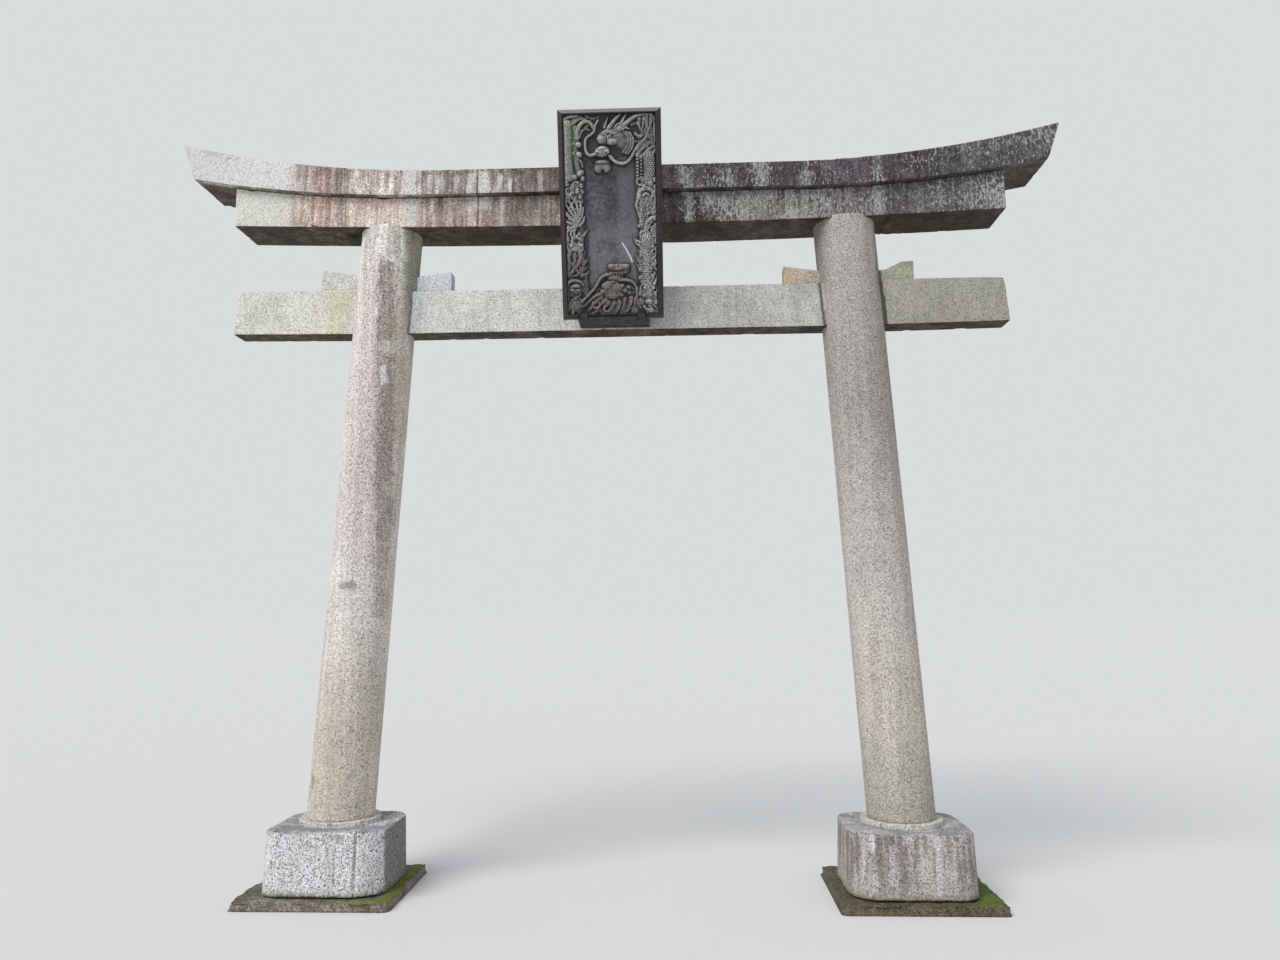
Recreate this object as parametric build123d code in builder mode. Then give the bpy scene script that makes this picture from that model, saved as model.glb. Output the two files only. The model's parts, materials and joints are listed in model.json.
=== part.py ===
# Stone torii gate: leaning pillars on base stones, a wedged tie beam, a two-course
# lintel with upswept ends, and a bronze plaque tilted forward over an iron shelf.
# Millimetres. +X is to the right seen from the front, the front faces -Y, +Z is up.
import os
from math import cos, radians, sin, sqrt

from build123d import *

os.makedirs("parts", exist_ok=True)

# The stones' middle plane stands this far behind the origin, which is centred under
# the whole gate, plaque included.
gate_y = 81.0

# Ground slabs, which reach further outward than the stones on them.
slab_width = 780.0
slab_depth = 720.0
slab_height = 50.0
slab_outset = 25.0
slab_chamfer = 9.0

# Base stones, with an easier corner at the inner front. They reach further out in
# front of the pillars than behind them.
stone_width = 612.0
stone_depth = 540.0
stone_forward = 26.0
stone_height = 296.0
stone_draft_angle = 1.6
stone_inner_radius = 150.0
stone_outer_radius = 100.0
stone_back_radius = 115.0
stone_top_round = 10.0
collar_height = 22.0
collar_margin = 32.0
collar_round = 6.0

# Pillars.
foot_half_spacing = 1418.0
top_half_spacing = 1235.0
pillar_foot_radius = 170.0
pillar_top_radius = 164.0

# Tie beam through both pillars. Its ends stand a little proud of the length between
# the pillars, and their undersides rise outward.
tie_bottom = 2876.0
tie_height = 238.0
tie_thickness = 142.0
tie_end_lift = 15.0
tie_end_rise = 12.0
tie_bottom_reach = 2076.0
tie_top_reach = 2058.0
tie_end_round = 26.0
tie_arris = 5.0

# Wedges on the tie beam: side, outer or inner, and the points of the top edge, each a
# distance from the joint inside the pillar and a height over the beam.
wedge_thickness = 80.0
wedges = {
    "left_outer_wedge": (-1, 1, [(0.0, 84.0), (215.0, 99.0), (353.0, 124.0)]),
    "left_inner_wedge": (-1, -1, [(0.0, 70.0), (363.0, 113.0)]),
    "right_inner_wedge": (1, -1, [(0.0, 56.0), (353.0, 107.0)]),
    "right_outer_wedge": (1, 1, [(0.0, 56.0), (185.0, 62.0), (275.0, 105.0), (338.0, 107.0)]),
}

# Central strut behind the plaque.
strut_width = 250.0
strut_depth = 130.0
strut_height = 320.0
strut_chamfer = 12.0

# Lower lintel: a long shallow curve below, the upper lintel's curve above.
lower_height = 177.0
lower_flat = 100.0
lower_radius = 48000.0
lower_reach = 2064.0
lower_thickness = 282.0
lintel_joint = 1455.0
socket_depth = 12.0
socket_clearance = 0.4

# Upper lintel.
upper_height = 140.0
course_flat = 1000.0
course_radius = 7000.0
upper_flat = 900.0
upper_radius = 6000.0
upper_thickness = 352.0
upper_bottom_reach = 2278.0
upper_top_reach = 2359.0
ridge_height = 22.0
ridge_lap = 40.0

# Plaque, drawn flat in its own tilted plane from the middle of its bottom edge.
plaque_width = 521.0
plaque_height = 1040.0
plaque_tilt = 16.5
plaque_forward = 233.0
frame_bar = 26.0
frame_thickness = 55.0
frame_bevel = 20.0
panel_recess = 25.0
panel_thickness = 20.0
border_thickness = 11.0
seat_cut = 4.0

# Iron shelf, hooks and stays.
shelf_width = 366.0
shelf_plate = 8.0
shelf_lift = 13.0
shelf_upstand = 70.0
hook_width = 36.0
hook_plate = 7.0
hook_half_spacing = 148.0
hook_reach = 50.0
hook_lip = 10.0
hook_tail = 70.0
stay_width = 40.0
stay_plate = 8.0
stay_half_spacing = 180.0
stay_drop = 82.0
stay_foot = 70.0


def rise(x, flat, radius):
    # Height gained at x by an arc that starts level at "flat" from the middle.
    run = max(abs(x) - flat, 0.0)
    return radius - sqrt(radius**2 - run**2)


# Derived values.
tie_top = tie_bottom + tie_height
tie_end_top = tie_top + tie_end_lift
lower_bottom = tie_top + strut_height
course_line = lower_bottom + lower_height
upper_top = course_line + upper_height
stay_height = course_line - stay_drop
stone_top = slab_height + stone_height
pillar_foot = stone_top + collar_height
pillar_top = lower_bottom + rise(top_half_spacing, lower_flat, lower_radius) + socket_depth
pillar_run = foot_half_spacing - top_half_spacing
pillar_rise = pillar_top - pillar_foot
pillar_length = sqrt(pillar_run**2 + pillar_rise**2)
pillar_taper = (pillar_foot_radius - pillar_top_radius) / pillar_length
tie_fraction = (tie_top - pillar_foot) / pillar_rise
tie_joint = foot_half_spacing - pillar_run * tie_fraction
overrun = 60.0
tilt = radians(plaque_tilt)
shelf_bottom = tie_bottom + shelf_lift
shelf_top = shelf_bottom + shelf_plate
seat_level = frame_bevel * sin(tilt) + seat_cut
plaque_z = shelf_top - seat_level


def front_plane(back=0.0):
    # Upright drawing plane facing the front, "back" behind the stones' middle plane.
    return Plane(origin=(0, gate_y + back, 0), x_dir=(1, 0, 0), z_dir=(0, -1, 0))


def side_plane(x):
    # Upright drawing plane across the gate: local x is +Y, local y is +Z.
    return Plane(origin=(x, gate_y, 0), x_dir=(0, 1, 0), z_dir=(1, 0, 0))


def plaque_plane(out=0.0):
    # The plaque's own plane, "out" in front of the frame's front.
    facing = (0.0, -cos(tilt), -sin(tilt))
    start = (0.0, gate_y - plaque_forward, plaque_z)
    return Plane(origin=start, x_dir=(1, 0, 0), z_dir=facing).offset(out)


def finish(builder, name):
    builder.part.label = name
    export_step(builder.part, "parts/" + name + ".step")


def draw_edge(x0, x1, z, flat, radius):
    # One long edge, straight within "flat" of the middle and an arc beyond it.
    stops = [x0] + [x for x in (-flat, flat) if x0 < x < x1] + [x1]
    for a, b in zip(stops, stops[1:]):
        start = (a, z + rise(a, flat, radius))
        end = (b, z + rise(b, flat, radius))
        middle = (a + b) / 2
        if abs(middle) < flat:
            Line(start, end)
        else:
            ThreePointArc(start, (middle, z + rise(middle, flat, radius)), end)


def tie_end_points(side):
    # A tie beam end seen from the front, from the joint inside the pillar outward.
    return [
        (side * tie_joint, tie_bottom),
        (side * tie_bottom_reach, tie_bottom + tie_end_rise),
        (side * tie_top_reach, tie_end_top),
        (side * tie_joint, tie_end_top),
    ]


def wedge_points(name):
    # A wedge seen from the front, seated on its own length of the tie beam.
    side, way, top_edge = wedges[name]
    seat = tie_end_top if way > 0 else tie_top
    start = side * tie_joint
    turn = side * way
    reach = top_edge[-1][0]
    points = [(start, seat), (start + turn * reach, seat)]
    points += [(start + turn * run, seat + height) for run, height in reversed(top_edge)]
    return points


# Ground slabs.
for name, side in (("left_ground_slab", -1), ("right_ground_slab", 1)):
    with BuildPart() as slab:
        with BuildSketch():
            with Locations((side * (foot_half_spacing + slab_outset), gate_y)):
                Rectangle(slab_width, slab_depth)
        extrude(amount=slab_height)
        chamfer(slab.faces().sort_by(Axis.Z)[-1].edges(), length=slab_chamfer)
    finish(slab, name)

# Base stones with their collars.
for name, side in (("left_base_stone", -1), ("right_base_stone", 1)):
    x = side * foot_half_spacing
    with BuildPart() as stone:
        with BuildSketch(Plane.XY.offset(slab_height)) as plan:
            with Locations((x, gate_y - stone_forward)):
                Rectangle(stone_width, stone_depth)
            corners = plan.vertices()
            front = corners.filter_by(lambda v: v.Y < gate_y).sort_by(Axis.X)
            back = corners.filter_by(lambda v: v.Y > gate_y)
            inner, outer = (front[-1], front[0]) if side < 0 else (front[0], front[-1])
            fillet(inner, radius=stone_inner_radius)
            fillet(outer, radius=stone_outer_radius)
            fillet(back, radius=stone_back_radius)
        extrude(amount=stone_height, taper=stone_draft_angle)
        fillet(stone.faces().sort_by(Axis.Z)[-1].edges(), radius=stone_top_round)
        with BuildSketch(Plane.XY.offset(stone_top)):
            with Locations((x, gate_y)):
                Circle(pillar_foot_radius + collar_margin)
        extrude(amount=collar_height)
        fillet(stone.faces().sort_by(Axis.Z)[-1].edges(), radius=collar_round)
    finish(stone, name)

# Pillars, with the mortise that the tie beam and its wedges pass through.
for name, side in (("left_pillar", -1), ("right_pillar", 1)):
    foot = (side * foot_half_spacing, gate_y, pillar_foot)
    upward = Vector(-side * pillar_run, 0, pillar_rise).normalized()
    across = Vector(0, 1, 0)
    with BuildPart() as pillar:
        with BuildSketch(Plane(origin=foot, x_dir=across, z_dir=across.cross(upward))):
            with BuildLine():
                Polyline(
                    (0, -overrun),
                    (pillar_foot_radius + overrun * pillar_taper, -overrun),
                    (pillar_top_radius - overrun * pillar_taper, pillar_length + overrun),
                    (0, pillar_length + overrun),
                    close=True,
                )
            make_face()
        revolve(axis=Axis(foot, upward))
        with BuildSketch(Plane.XY.offset(pillar_foot)):
            with Locations((foot[0], gate_y)):
                Rectangle(4 * pillar_foot_radius, 4 * pillar_foot_radius)
        extrude(amount=-2 * overrun, mode=Mode.SUBTRACT)
        with BuildSketch(Plane.XY.offset(pillar_top)):
            with Locations((side * top_half_spacing, gate_y)):
                Rectangle(4 * pillar_foot_radius, 4 * pillar_foot_radius)
        extrude(amount=2 * overrun, mode=Mode.SUBTRACT)
        with BuildSketch(front_plane(tie_thickness / 2)):
            with Locations((0, tie_bottom + tie_height / 2)):
                Rectangle(2 * tie_joint, tie_height)
            with BuildLine():
                Polyline(*tie_end_points(side), close=True)
            make_face()
        extrude(amount=tie_thickness, mode=Mode.SUBTRACT)
        for wedge_name, wedge_values in wedges.items():
            if wedge_values[0] == side:
                with BuildSketch(front_plane(wedge_thickness / 2)):
                    with BuildLine():
                        Polyline(*wedge_points(wedge_name), close=True)
                    make_face()
                extrude(amount=wedge_thickness, mode=Mode.SUBTRACT)
    finish(pillar, name)

# Tie beam: the length between the pillars, and an end through each.
with BuildPart() as tie_centre:
    with BuildSketch(front_plane(tie_thickness / 2)):
        with Locations((0, tie_bottom + tie_height / 2)):
            Rectangle(2 * tie_joint, tie_height)
    extrude(amount=tie_thickness)
finish(tie_centre, "tie_beam_centre")

for name, side in (("left_tie_beam_end", -1), ("right_tie_beam_end", 1)):
    with BuildPart() as tie_end:
        with BuildSketch(front_plane(tie_thickness / 2)) as outline:
            with BuildLine():
                Polyline(*tie_end_points(side), close=True)
            make_face()
            outermost = outline.vertices().sort_by(lambda v: side * v.X)[-2]
            fillet(outermost, radius=tie_end_round)
        extrude(amount=tie_thickness)
        end_face = tie_end.faces().sort_by(lambda f: side * f.center().X)[-1]
        fillet(end_face.edges().filter_by(GeomType.LINE), radius=tie_arris)
    finish(tie_end, name)

# Wedges.
for name in wedges:
    with BuildPart() as wedge:
        with BuildSketch(front_plane(wedge_thickness / 2)):
            with BuildLine():
                Polyline(*wedge_points(name), close=True)
            make_face()
        extrude(amount=wedge_thickness)
    finish(wedge, name)

# Central strut.
with BuildPart() as strut:
    with BuildSketch(Plane.XY.offset(tie_top)) as strut_plan:
        with Locations((0, gate_y)):
            Rectangle(strut_width, strut_depth)
        chamfer(strut_plan.vertices(), length=strut_chamfer)
    extrude(amount=strut_height)
finish(strut, "centre_strut")

# Lower lintel in three stones, with a shallow round socket over each pillar.
lower_stones = {
    "lower_lintel_left": (-lower_reach, -lintel_joint),
    "lower_lintel_centre": (-lintel_joint, lintel_joint),
    "lower_lintel_right": (lintel_joint, lower_reach),
}
for name, (x0, x1) in lower_stones.items():
    with BuildPart() as lower:
        with BuildSketch(front_plane(lower_thickness / 2)):
            with BuildLine():
                draw_edge(x0, x1, lower_bottom, lower_flat, lower_radius)
                draw_edge(x0, x1, course_line, course_flat, course_radius)
                for x in (x0, x1):
                    low = lower_bottom + rise(x, lower_flat, lower_radius)
                    high = course_line + rise(x, course_flat, course_radius)
                    Line((x, low), (x, high))
            make_face()
        extrude(amount=lower_thickness)
        if x0 < 0 < x1:
            for side in (-1, 1):
                with BuildSketch(Plane.XY.offset(pillar_top)):
                    with Locations((side * top_half_spacing, gate_y)):
                        long_way = pillar_top_radius * pillar_length / pillar_rise
                        Ellipse(long_way + socket_clearance, pillar_top_radius + socket_clearance)
                downward = Vector(side * pillar_run, 0, -pillar_rise)
                extrude(amount=overrun, dir=downward, mode=Mode.SUBTRACT)
    finish(lower, name)

# Upper lintel in three stones, oblique at the ends and shallowly ridged on top.
upper_stones = {
    "upper_lintel_left": (None, -lintel_joint),
    "upper_lintel_centre": (-lintel_joint, lintel_joint),
    "upper_lintel_right": (lintel_joint, None),
}
bottom_tip = course_line + rise(upper_bottom_reach, course_flat, course_radius)
top_tip = upper_top + rise(upper_top_reach, upper_flat, upper_radius)
long_reach = upper_top_reach + overrun
for name, (x0, x1) in upper_stones.items():
    with BuildPart() as upper:
        with BuildSketch(front_plane(upper_thickness / 2)):
            with BuildLine():
                draw_edge(-long_reach, long_reach, course_line, course_flat, course_radius)
                body_top = upper_top - ridge_lap / 2
                draw_edge(-long_reach, long_reach, body_top, upper_flat, upper_radius)
                for x in (-long_reach, long_reach):
                    low = course_line + rise(x, course_flat, course_radius)
                    high = body_top + rise(x, upper_flat, upper_radius)
                    Line((x, low), (x, high))
            make_face()
        extrude(amount=upper_thickness)
        with BuildLine(front_plane()) as top_line:
            draw_edge(-long_reach, long_reach, upper_top, upper_flat, upper_radius)
        start = top_line.wires()[0]
        half = upper_thickness / 2
        with BuildSketch(Plane(origin=start @ 0, x_dir=(0, 1, 0), z_dir=start % 0)) as cap:
            up = 1 if cap.workplanes[0].y_dir.Z > 0 else -1
            with BuildLine():
                Polyline(
                    (-half, -up * ridge_lap),
                    (half, -up * ridge_lap),
                    (half, 0),
                    (0, up * ridge_height),
                    (-half, 0),
                    close=True,
                )
            make_face()
        sweep(path=start)
        for side in (-1, 1):
            with BuildSketch(front_plane(upper_thickness)):
                with BuildLine():
                    lean_in = upper_top_reach - upper_bottom_reach
                    height = top_tip - bottom_tip
                    low = (upper_bottom_reach - lean_in, bottom_tip - height)
                    high = (upper_top_reach + lean_in, top_tip + height)
                    Polyline(
                        (side * low[0], low[1]),
                        (side * high[0], high[1]),
                        (side * (high[0] + 10 * overrun), high[1]),
                        (side * (high[0] + 10 * overrun), low[1]),
                        close=True,
                    )
                make_face()
            extrude(amount=2 * upper_thickness, mode=Mode.SUBTRACT)
        if x0 is not None:
            split(bisect_by=Plane(origin=(x0, 0, 0), z_dir=(1, 0, 0)), keep=Keep.TOP)
        if x1 is not None:
            split(bisect_by=Plane(origin=(x1, 0, 0), z_dir=(1, 0, 0)), keep=Keep.BOTTOM)
    finish(upper, name)

# Plaque panel, set back between the frame bars.
opening_width = plaque_width - 2 * frame_bar
opening_height = plaque_height - 2 * frame_bar
with BuildPart() as panel:
    with BuildSketch(plaque_plane(-panel_recess)):
        with Locations((0, plaque_height / 2)):
            Rectangle(opening_width, opening_height)
    extrude(amount=-panel_thickness)
finish(panel, "plaque_panel")

# Frame bars, mitred at the corners and bevelled outward.
half_w = plaque_width / 2
half_in = opening_width / 2
top_in = plaque_height - frame_bar
frame_bars = {
    "plaque_frame_left": [
        (-half_w, 0), (-half_in, frame_bar), (-half_in, top_in), (-half_w, plaque_height)
    ],
    "plaque_frame_right": [
        (half_w, 0), (half_in, frame_bar), (half_in, top_in), (half_w, plaque_height)
    ],
    "plaque_frame_bottom": [
        (-half_w, 0), (half_w, 0), (half_in, frame_bar), (-half_in, frame_bar)
    ],
    "plaque_frame_top": [
        (-half_w, plaque_height), (half_w, plaque_height), (half_in, top_in), (-half_in, top_in)
    ],
}
facing_axis = Axis((0, 0, 0), (0, -cos(tilt), -sin(tilt)))
for name, outline in frame_bars.items():
    with BuildPart() as bar:
        with BuildSketch(plaque_plane()):
            with BuildLine():
                Polyline(*outline, close=True)
            make_face()
        extrude(amount=-frame_thickness)
        front_edges = bar.faces().sort_by(facing_axis)[-1].edges()
        chamfer(front_edges.sort_by(SortBy.LENGTH)[-1], length=frame_bevel)
        with BuildSketch(Plane.XY.offset(shelf_top)):
            with Locations((0, gate_y - plaque_forward)):
                Rectangle(2 * plaque_width, 6 * frame_thickness)
        extrude(amount=-overrun, mode=Mode.SUBTRACT)
    finish(bar, name)

# Relief: a border with a wavy inner edge, and over it the main forms of two dragons.
# Points are across and up the plaque from the middle of its bottom edge.
left_edge = [(-116, 216), (-130, 282), (-118, 363), (-136, 520), (-124, 610), (-130, 725)]
top_edge = [(-112, 800), (-60, 812), (0, 806), (60, 796), (112, 800)]
right_edge = [(121, 726), (128, 603), (135, 480), (131, 356), (125, 274), (130, 214)]
bottom_edge = [(70, 196), (0, 214), (-60, 196)]

# Rounded forms: across, up, radius where they meet the panel, height.
head_forms = [
    (2, 926, 56, 34),
    (-20, 888, 38, 44),
    (-34, 836, 44, 36),
    (-36, 772, 42, 26),
    (60, 868, 44, 28),
    (24, 254, 44, 30),
    (20, 214, 36, 40),
    (-20, 146, 54, 32),
    (72, 238, 26, 24),
]
cloud_forms = [
    (-186, 598, 40, 24),
    (-196, 480, 34, 22),
    (-190, 408, 32, 22),
    (-206, 84, 30, 22),
    (-194, 154, 38, 26),
    (196, 736, 34, 22),
    (160, 684, 28, 24),
    (188, 600, 36, 22),
    (192, 512, 34, 22),
    (168, 410, 34, 22),
    (170, 240, 34, 22),
    (206, 300, 26, 20),
    (198, 96, 32, 22),
]
# Long round forms: radius, height of the centre line over the panel, points.
long_forms = [
    (32.0, 0.0, [(-191, 956), (-203, 890), (-209, 820), (-205, 745), (-186, 680)]),
    (27.0, 0.0, [(-190, 350), (-184, 300), (-190, 240), (-200, 190)]),
    (28.0, 0.0, [(196, 215), (202, 175), (192, 130)]),
    (24.0, 4.0, [(206, 905), (188, 860), (176, 800), (186, 760)]),
    (8.0, 9.0, [(-52, 816), (-96, 820), (-119, 850), (-116, 890), (-84, 926), (-58, 968)]),
    (8.0, 9.0, [(14, 792), (44, 773), (84, 774), (118, 800), (150, 850), (204, 915)]),
    (9.0, 16.0, [(6, 950), (26, 984), (52, 1004)]),
    (9.0, 16.0, [(40, 940), (66, 972), (82, 1004)]),
    (10.0, 10.0, [(84, 950), (124, 988), (176, 1000)]),
    (9.0, 10.0, [(-78, 958), (-110, 988), (-159, 1000), (-212, 992)]),
    (8.0, 10.0, [(-20, 212), (-56, 214), (-90, 174), (-115, 130), (-155, 96)]),
    (8.0, 10.0, [(42, 193), (84, 193), (116, 172), (130, 120)]),
    (12.0, 4.0, [(-150, 52), (-100, 84), (-60, 112)]),
    (12.0, 4.0, [(-76, 46), (-36, 70), (-8, 106)]),
    (12.0, 4.0, [(10, 46), (44, 72), (84, 96)]),
    (12.0, 4.0, [(84, 46), (124, 76), (172, 92)]),
]
forms = []
for across, up, base, height in head_forms + cloud_forms:
    ball = (base**2 + height**2) / (2 * height)
    with BuildPart() as form:
        with Locations(plaque_plane(height - ball - panel_recess)):
            with Locations((across, up, 0)):
                Sphere(ball)
    forms.append(form.part)
for radius, lift, points in long_forms:
    with BuildPart() as form:
        with BuildLine(plaque_plane(lift - panel_recess)):
            path = Spline(*points)
        with BuildSketch(Plane(origin=path @ 0, z_dir=path % 0)):
            Circle(radius)
        sweep(path=path)
        with Locations(plaque_plane(lift - panel_recess)):
            with Locations((*points[0], 0), (*points[-1], 0)):
                Sphere(radius)
    forms.append(form.part)

# Each form is cut off at the panel's face and inside the frame, then joins the border.
trimmed = []
for form in forms:
    with BuildPart() as cut_form:
        add(form)
        with BuildSketch(plaque_plane(-panel_recess)):
            with Locations((0, plaque_height / 2)):
                Rectangle(opening_width, opening_height)
        extrude(amount=plaque_width, mode=Mode.INTERSECT)
    trimmed.append(cut_form.part)
with BuildPart() as relief:
    with BuildSketch(plaque_plane(-panel_recess)):
        with Locations((0, plaque_height / 2)):
            Rectangle(opening_width, opening_height)
        with BuildLine():
            Spline(*(left_edge + top_edge + right_edge + bottom_edge), periodic=True)
        make_face(mode=Mode.SUBTRACT)
    extrude(amount=border_thickness)
    for form in trimmed:
        add(form)
finish(relief, "plaque_relief")

# Iron shelf under the plaque, with an upstand against the tie beam's face.
beam_face = -tie_thickness / 2
shelf_front = -plaque_forward - frame_bar * sin(tilt) - hook_plate
with BuildPart() as shelf:
    with BuildSketch(side_plane(-shelf_width / 2)):
        with BuildLine():
            Polyline(
                (beam_face, shelf_bottom),
                (shelf_front, shelf_bottom),
                (shelf_front, shelf_top),
                (beam_face - shelf_plate, shelf_top),
                (beam_face - shelf_plate, shelf_bottom + shelf_upstand),
                (beam_face, shelf_bottom + shelf_upstand),
                close=True,
            )
        make_face()
    extrude(amount=shelf_width)
finish(shelf, "plaque_shelf")


def on_plaque(up, out):
    # Side view position of a point "up" the plaque and "out" of its front.
    y = -plaque_forward - up * sin(tilt) - out * cos(tilt)
    return (y, plaque_z + up * cos(tilt) - out * sin(tilt))


# Hooks: a tail under the shelf, a strap up the bottom bar and a lip behind it.
for name, side in (("left_plaque_hook", -1), ("right_plaque_hook", 1)):
    with BuildPart() as hook:
        with BuildSketch(side_plane(side * hook_half_spacing - hook_width / 2)):
            with BuildLine():
                front_low = (shelf_front - hook_plate, shelf_bottom - hook_plate)
                inner_foot = (shelf_front, shelf_bottom)
                Polyline(
                    (shelf_front + hook_tail, shelf_bottom - hook_plate),
                    front_low,
                    on_plaque(frame_bar, hook_plate),
                    on_plaque(hook_reach, hook_plate),
                    on_plaque(hook_reach, 0),
                    on_plaque(frame_bar + hook_plate, 0),
                    on_plaque(frame_bar + hook_plate, -hook_lip),
                    on_plaque(frame_bar, -hook_lip),
                    on_plaque(frame_bar, 0),
                    on_plaque(frame_bevel, 0),
                    (shelf_front, shelf_top),
                    inner_foot,
                    (shelf_front + hook_tail, shelf_bottom),
                    close=True,
                )
            make_face()
        extrude(amount=hook_width)
    finish(hook, name)

# Stays: from the lower lintel's face to the back of the plaque's side bars.
lintel_face = -lower_thickness / 2
for name, side in (("left_plaque_stay", -1), ("right_plaque_stay", 1)):
    back = -frame_thickness
    up = (stay_height - plaque_z + back * sin(tilt)) / cos(tilt)
    near = on_plaque(up, back)
    with BuildPart() as stay:
        with BuildSketch(side_plane(side * stay_half_spacing - stay_width / 2)):
            with BuildLine():
                pad = on_plaque(up + stay_foot, back)
                pad_back = on_plaque(up + stay_foot, back - stay_plate)
                bend = on_plaque(up, back - stay_plate)
                Polyline(
                    (lintel_face, stay_height - stay_foot),
                    (lintel_face, stay_height),
                    (bend[0], stay_height),
                    pad_back,
                    pad,
                    (near[0], stay_height - stay_plate),
                    (lintel_face - stay_plate, stay_height - stay_plate),
                    (lintel_face - stay_plate, stay_height - stay_foot),
                    close=True,
                )
            make_face()
        extrude(amount=stay_width)
    finish(stay, name)
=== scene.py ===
import json
from math import cos, pi, radians, sin, tan

import bpy
import numpy as np
from mathutils import Matrix


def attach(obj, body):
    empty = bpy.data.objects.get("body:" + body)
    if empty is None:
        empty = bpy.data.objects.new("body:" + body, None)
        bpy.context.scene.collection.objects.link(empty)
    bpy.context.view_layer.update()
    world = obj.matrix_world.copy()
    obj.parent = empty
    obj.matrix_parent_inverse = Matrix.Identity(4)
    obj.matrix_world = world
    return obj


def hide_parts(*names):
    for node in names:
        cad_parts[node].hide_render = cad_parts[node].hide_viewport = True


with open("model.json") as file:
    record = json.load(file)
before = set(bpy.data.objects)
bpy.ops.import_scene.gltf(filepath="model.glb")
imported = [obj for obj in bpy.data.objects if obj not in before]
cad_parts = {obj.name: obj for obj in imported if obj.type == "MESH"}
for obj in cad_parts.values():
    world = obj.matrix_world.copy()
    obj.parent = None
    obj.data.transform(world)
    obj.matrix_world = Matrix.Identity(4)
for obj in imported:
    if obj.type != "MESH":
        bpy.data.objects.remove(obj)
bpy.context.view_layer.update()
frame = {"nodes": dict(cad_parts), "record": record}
print("frame loaded:", len(frame["nodes"]), "nodes")

# Main sizes of the gate in metres, the same as the frame's.
gate = {
    "middleY": 0.081,
    "slabWidth": 0.780, "slabDepth": 0.720, "slabHeight": 0.050, "slabOutset": 0.025,
    "stoneWidth": 0.612, "stoneDepth": 0.540, "stoneForward": 0.026, "stoneHeight": 0.296,
    "stoneDraft": 1.6, "collarHeight": 0.022, "collarRadius": 0.202,
    "footHalf": 1.418, "topHalf": 1.235, "footRadius": 0.170, "topRadius": 0.164,
    "tieBottom": 2.876, "tieHeight": 0.238, "tieDepth": 0.142, "tieEndLift": 0.015, "tieEndRise": 0.012,
    "tieReachLow": 2.076, "tieReachHigh": 2.058, "tieEndRound": 0.026,
    "wedgeDepth": 0.080, "strutWidth": 0.250, "strutDepth": 0.130, "strutHeight": 0.320,
    "lowerHeight": 0.177, "lowerFlat": 0.100, "lowerRadius": 48.0, "lowerReach": 2.064,
    "lowerDepth": 0.282, "joint": 1.455, "socketDepth": 0.012,
    "courseFlat": 1.000, "courseRadius": 7.0,
    "upperHeight": 0.140, "upperFlat": 0.900, "upperRadius": 6.0, "upperDepth": 0.352,
    "upperReachLow": 2.278, "upperReachHigh": 2.359, "ridge": 0.022,
}
tieTop = gate["tieBottom"] + gate["tieHeight"]
tieEndTop = tieTop + gate["tieEndLift"]
lowerBottom = tieTop + gate["strutHeight"]
courseLine = lowerBottom + gate["lowerHeight"]
upperTop = courseLine + gate["upperHeight"]
stoneTop = gate["slabHeight"] + gate["stoneHeight"]
pillarFoot = stoneTop + gate["collarHeight"]


def arcRise(x, flat, radius):
    # Level out to flat, then the rise of a circle of that radius.
    run = np.clip(np.abs(x) - flat, 0, None)
    return radius - np.sqrt(radius**2 - run**2)


def lowerUnderside(x):
    return lowerBottom + arcRise(x, gate["lowerFlat"], gate["lowerRadius"])


def courseCurve(x):
    return courseLine + arcRise(x, gate["courseFlat"], gate["courseRadius"])


def upperCurve(x):
    return upperTop + arcRise(x, gate["upperFlat"], gate["upperRadius"])


pillarTop = float(lowerUnderside(gate["topHalf"])) + gate["socketDepth"]
pillarRun = gate["footHalf"] - gate["topHalf"]
pillarRise = pillarTop - pillarFoot
tieJoint = gate["footHalf"] - pillarRun * (tieTop - pillarFoot) / pillarRise


# Shapes: noise, grids of points and the meshes made from them.
def latticeNoise(points, cell, seed):
    # Random numbers at the corners of a cubic lattice, blended along each axis with 3t^2 - 2t^3; 0 to 1.
    grid = points / cell
    base = np.floor(grid).astype(np.int64)
    part = grid - base
    part = part * part * (3 - 2 * part)
    total = np.zeros(points.shape[:-1])
    for corner in range(8):
        step = np.array([corner & 1, corner >> 1 & 1, corner >> 2 & 1])
        key = (base + step) & 0xFFFF
        mixed = key[..., 0] * 7385609 + key[..., 1] * 1934963 + key[..., 2] * 8349279 + seed * 26544357
        mixed = ((mixed ^ (mixed >> 13)) * 127412617) & 0xFFFFFFFFFFF
        mixed = (mixed ^ (mixed >> 17)) & 0xFFFFFF
        total += np.prod(np.where(step, part, 1 - part), axis=-1) * mixed / 0xFFFFFF
    return total


def layeredNoise(points, cell, seed, layers=3):
    # Layers of lattice noise, each half the size and half the strength of the one before; 0 to 1.
    total = sum(latticeNoise(points, cell / 2**k, seed + 17 * k) / 2**k for k in range(layers))
    return total / sum(1 / 2**k for k in range(layers))


def smoothStep(low, high, value):
    t = np.clip((value - low) / (high - low), 0, 1)
    return t * t * (3 - 2 * t)


def addFloat(mesh, name, values):
    mesh.attributes.new(name, "FLOAT", "POINT").data.foreach_set("value", values.astype(np.float32))


def addObject(name, data):
    thing = bpy.data.objects.new(name, data)
    bpy.context.scene.collection.objects.link(thing)
    return thing


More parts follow.
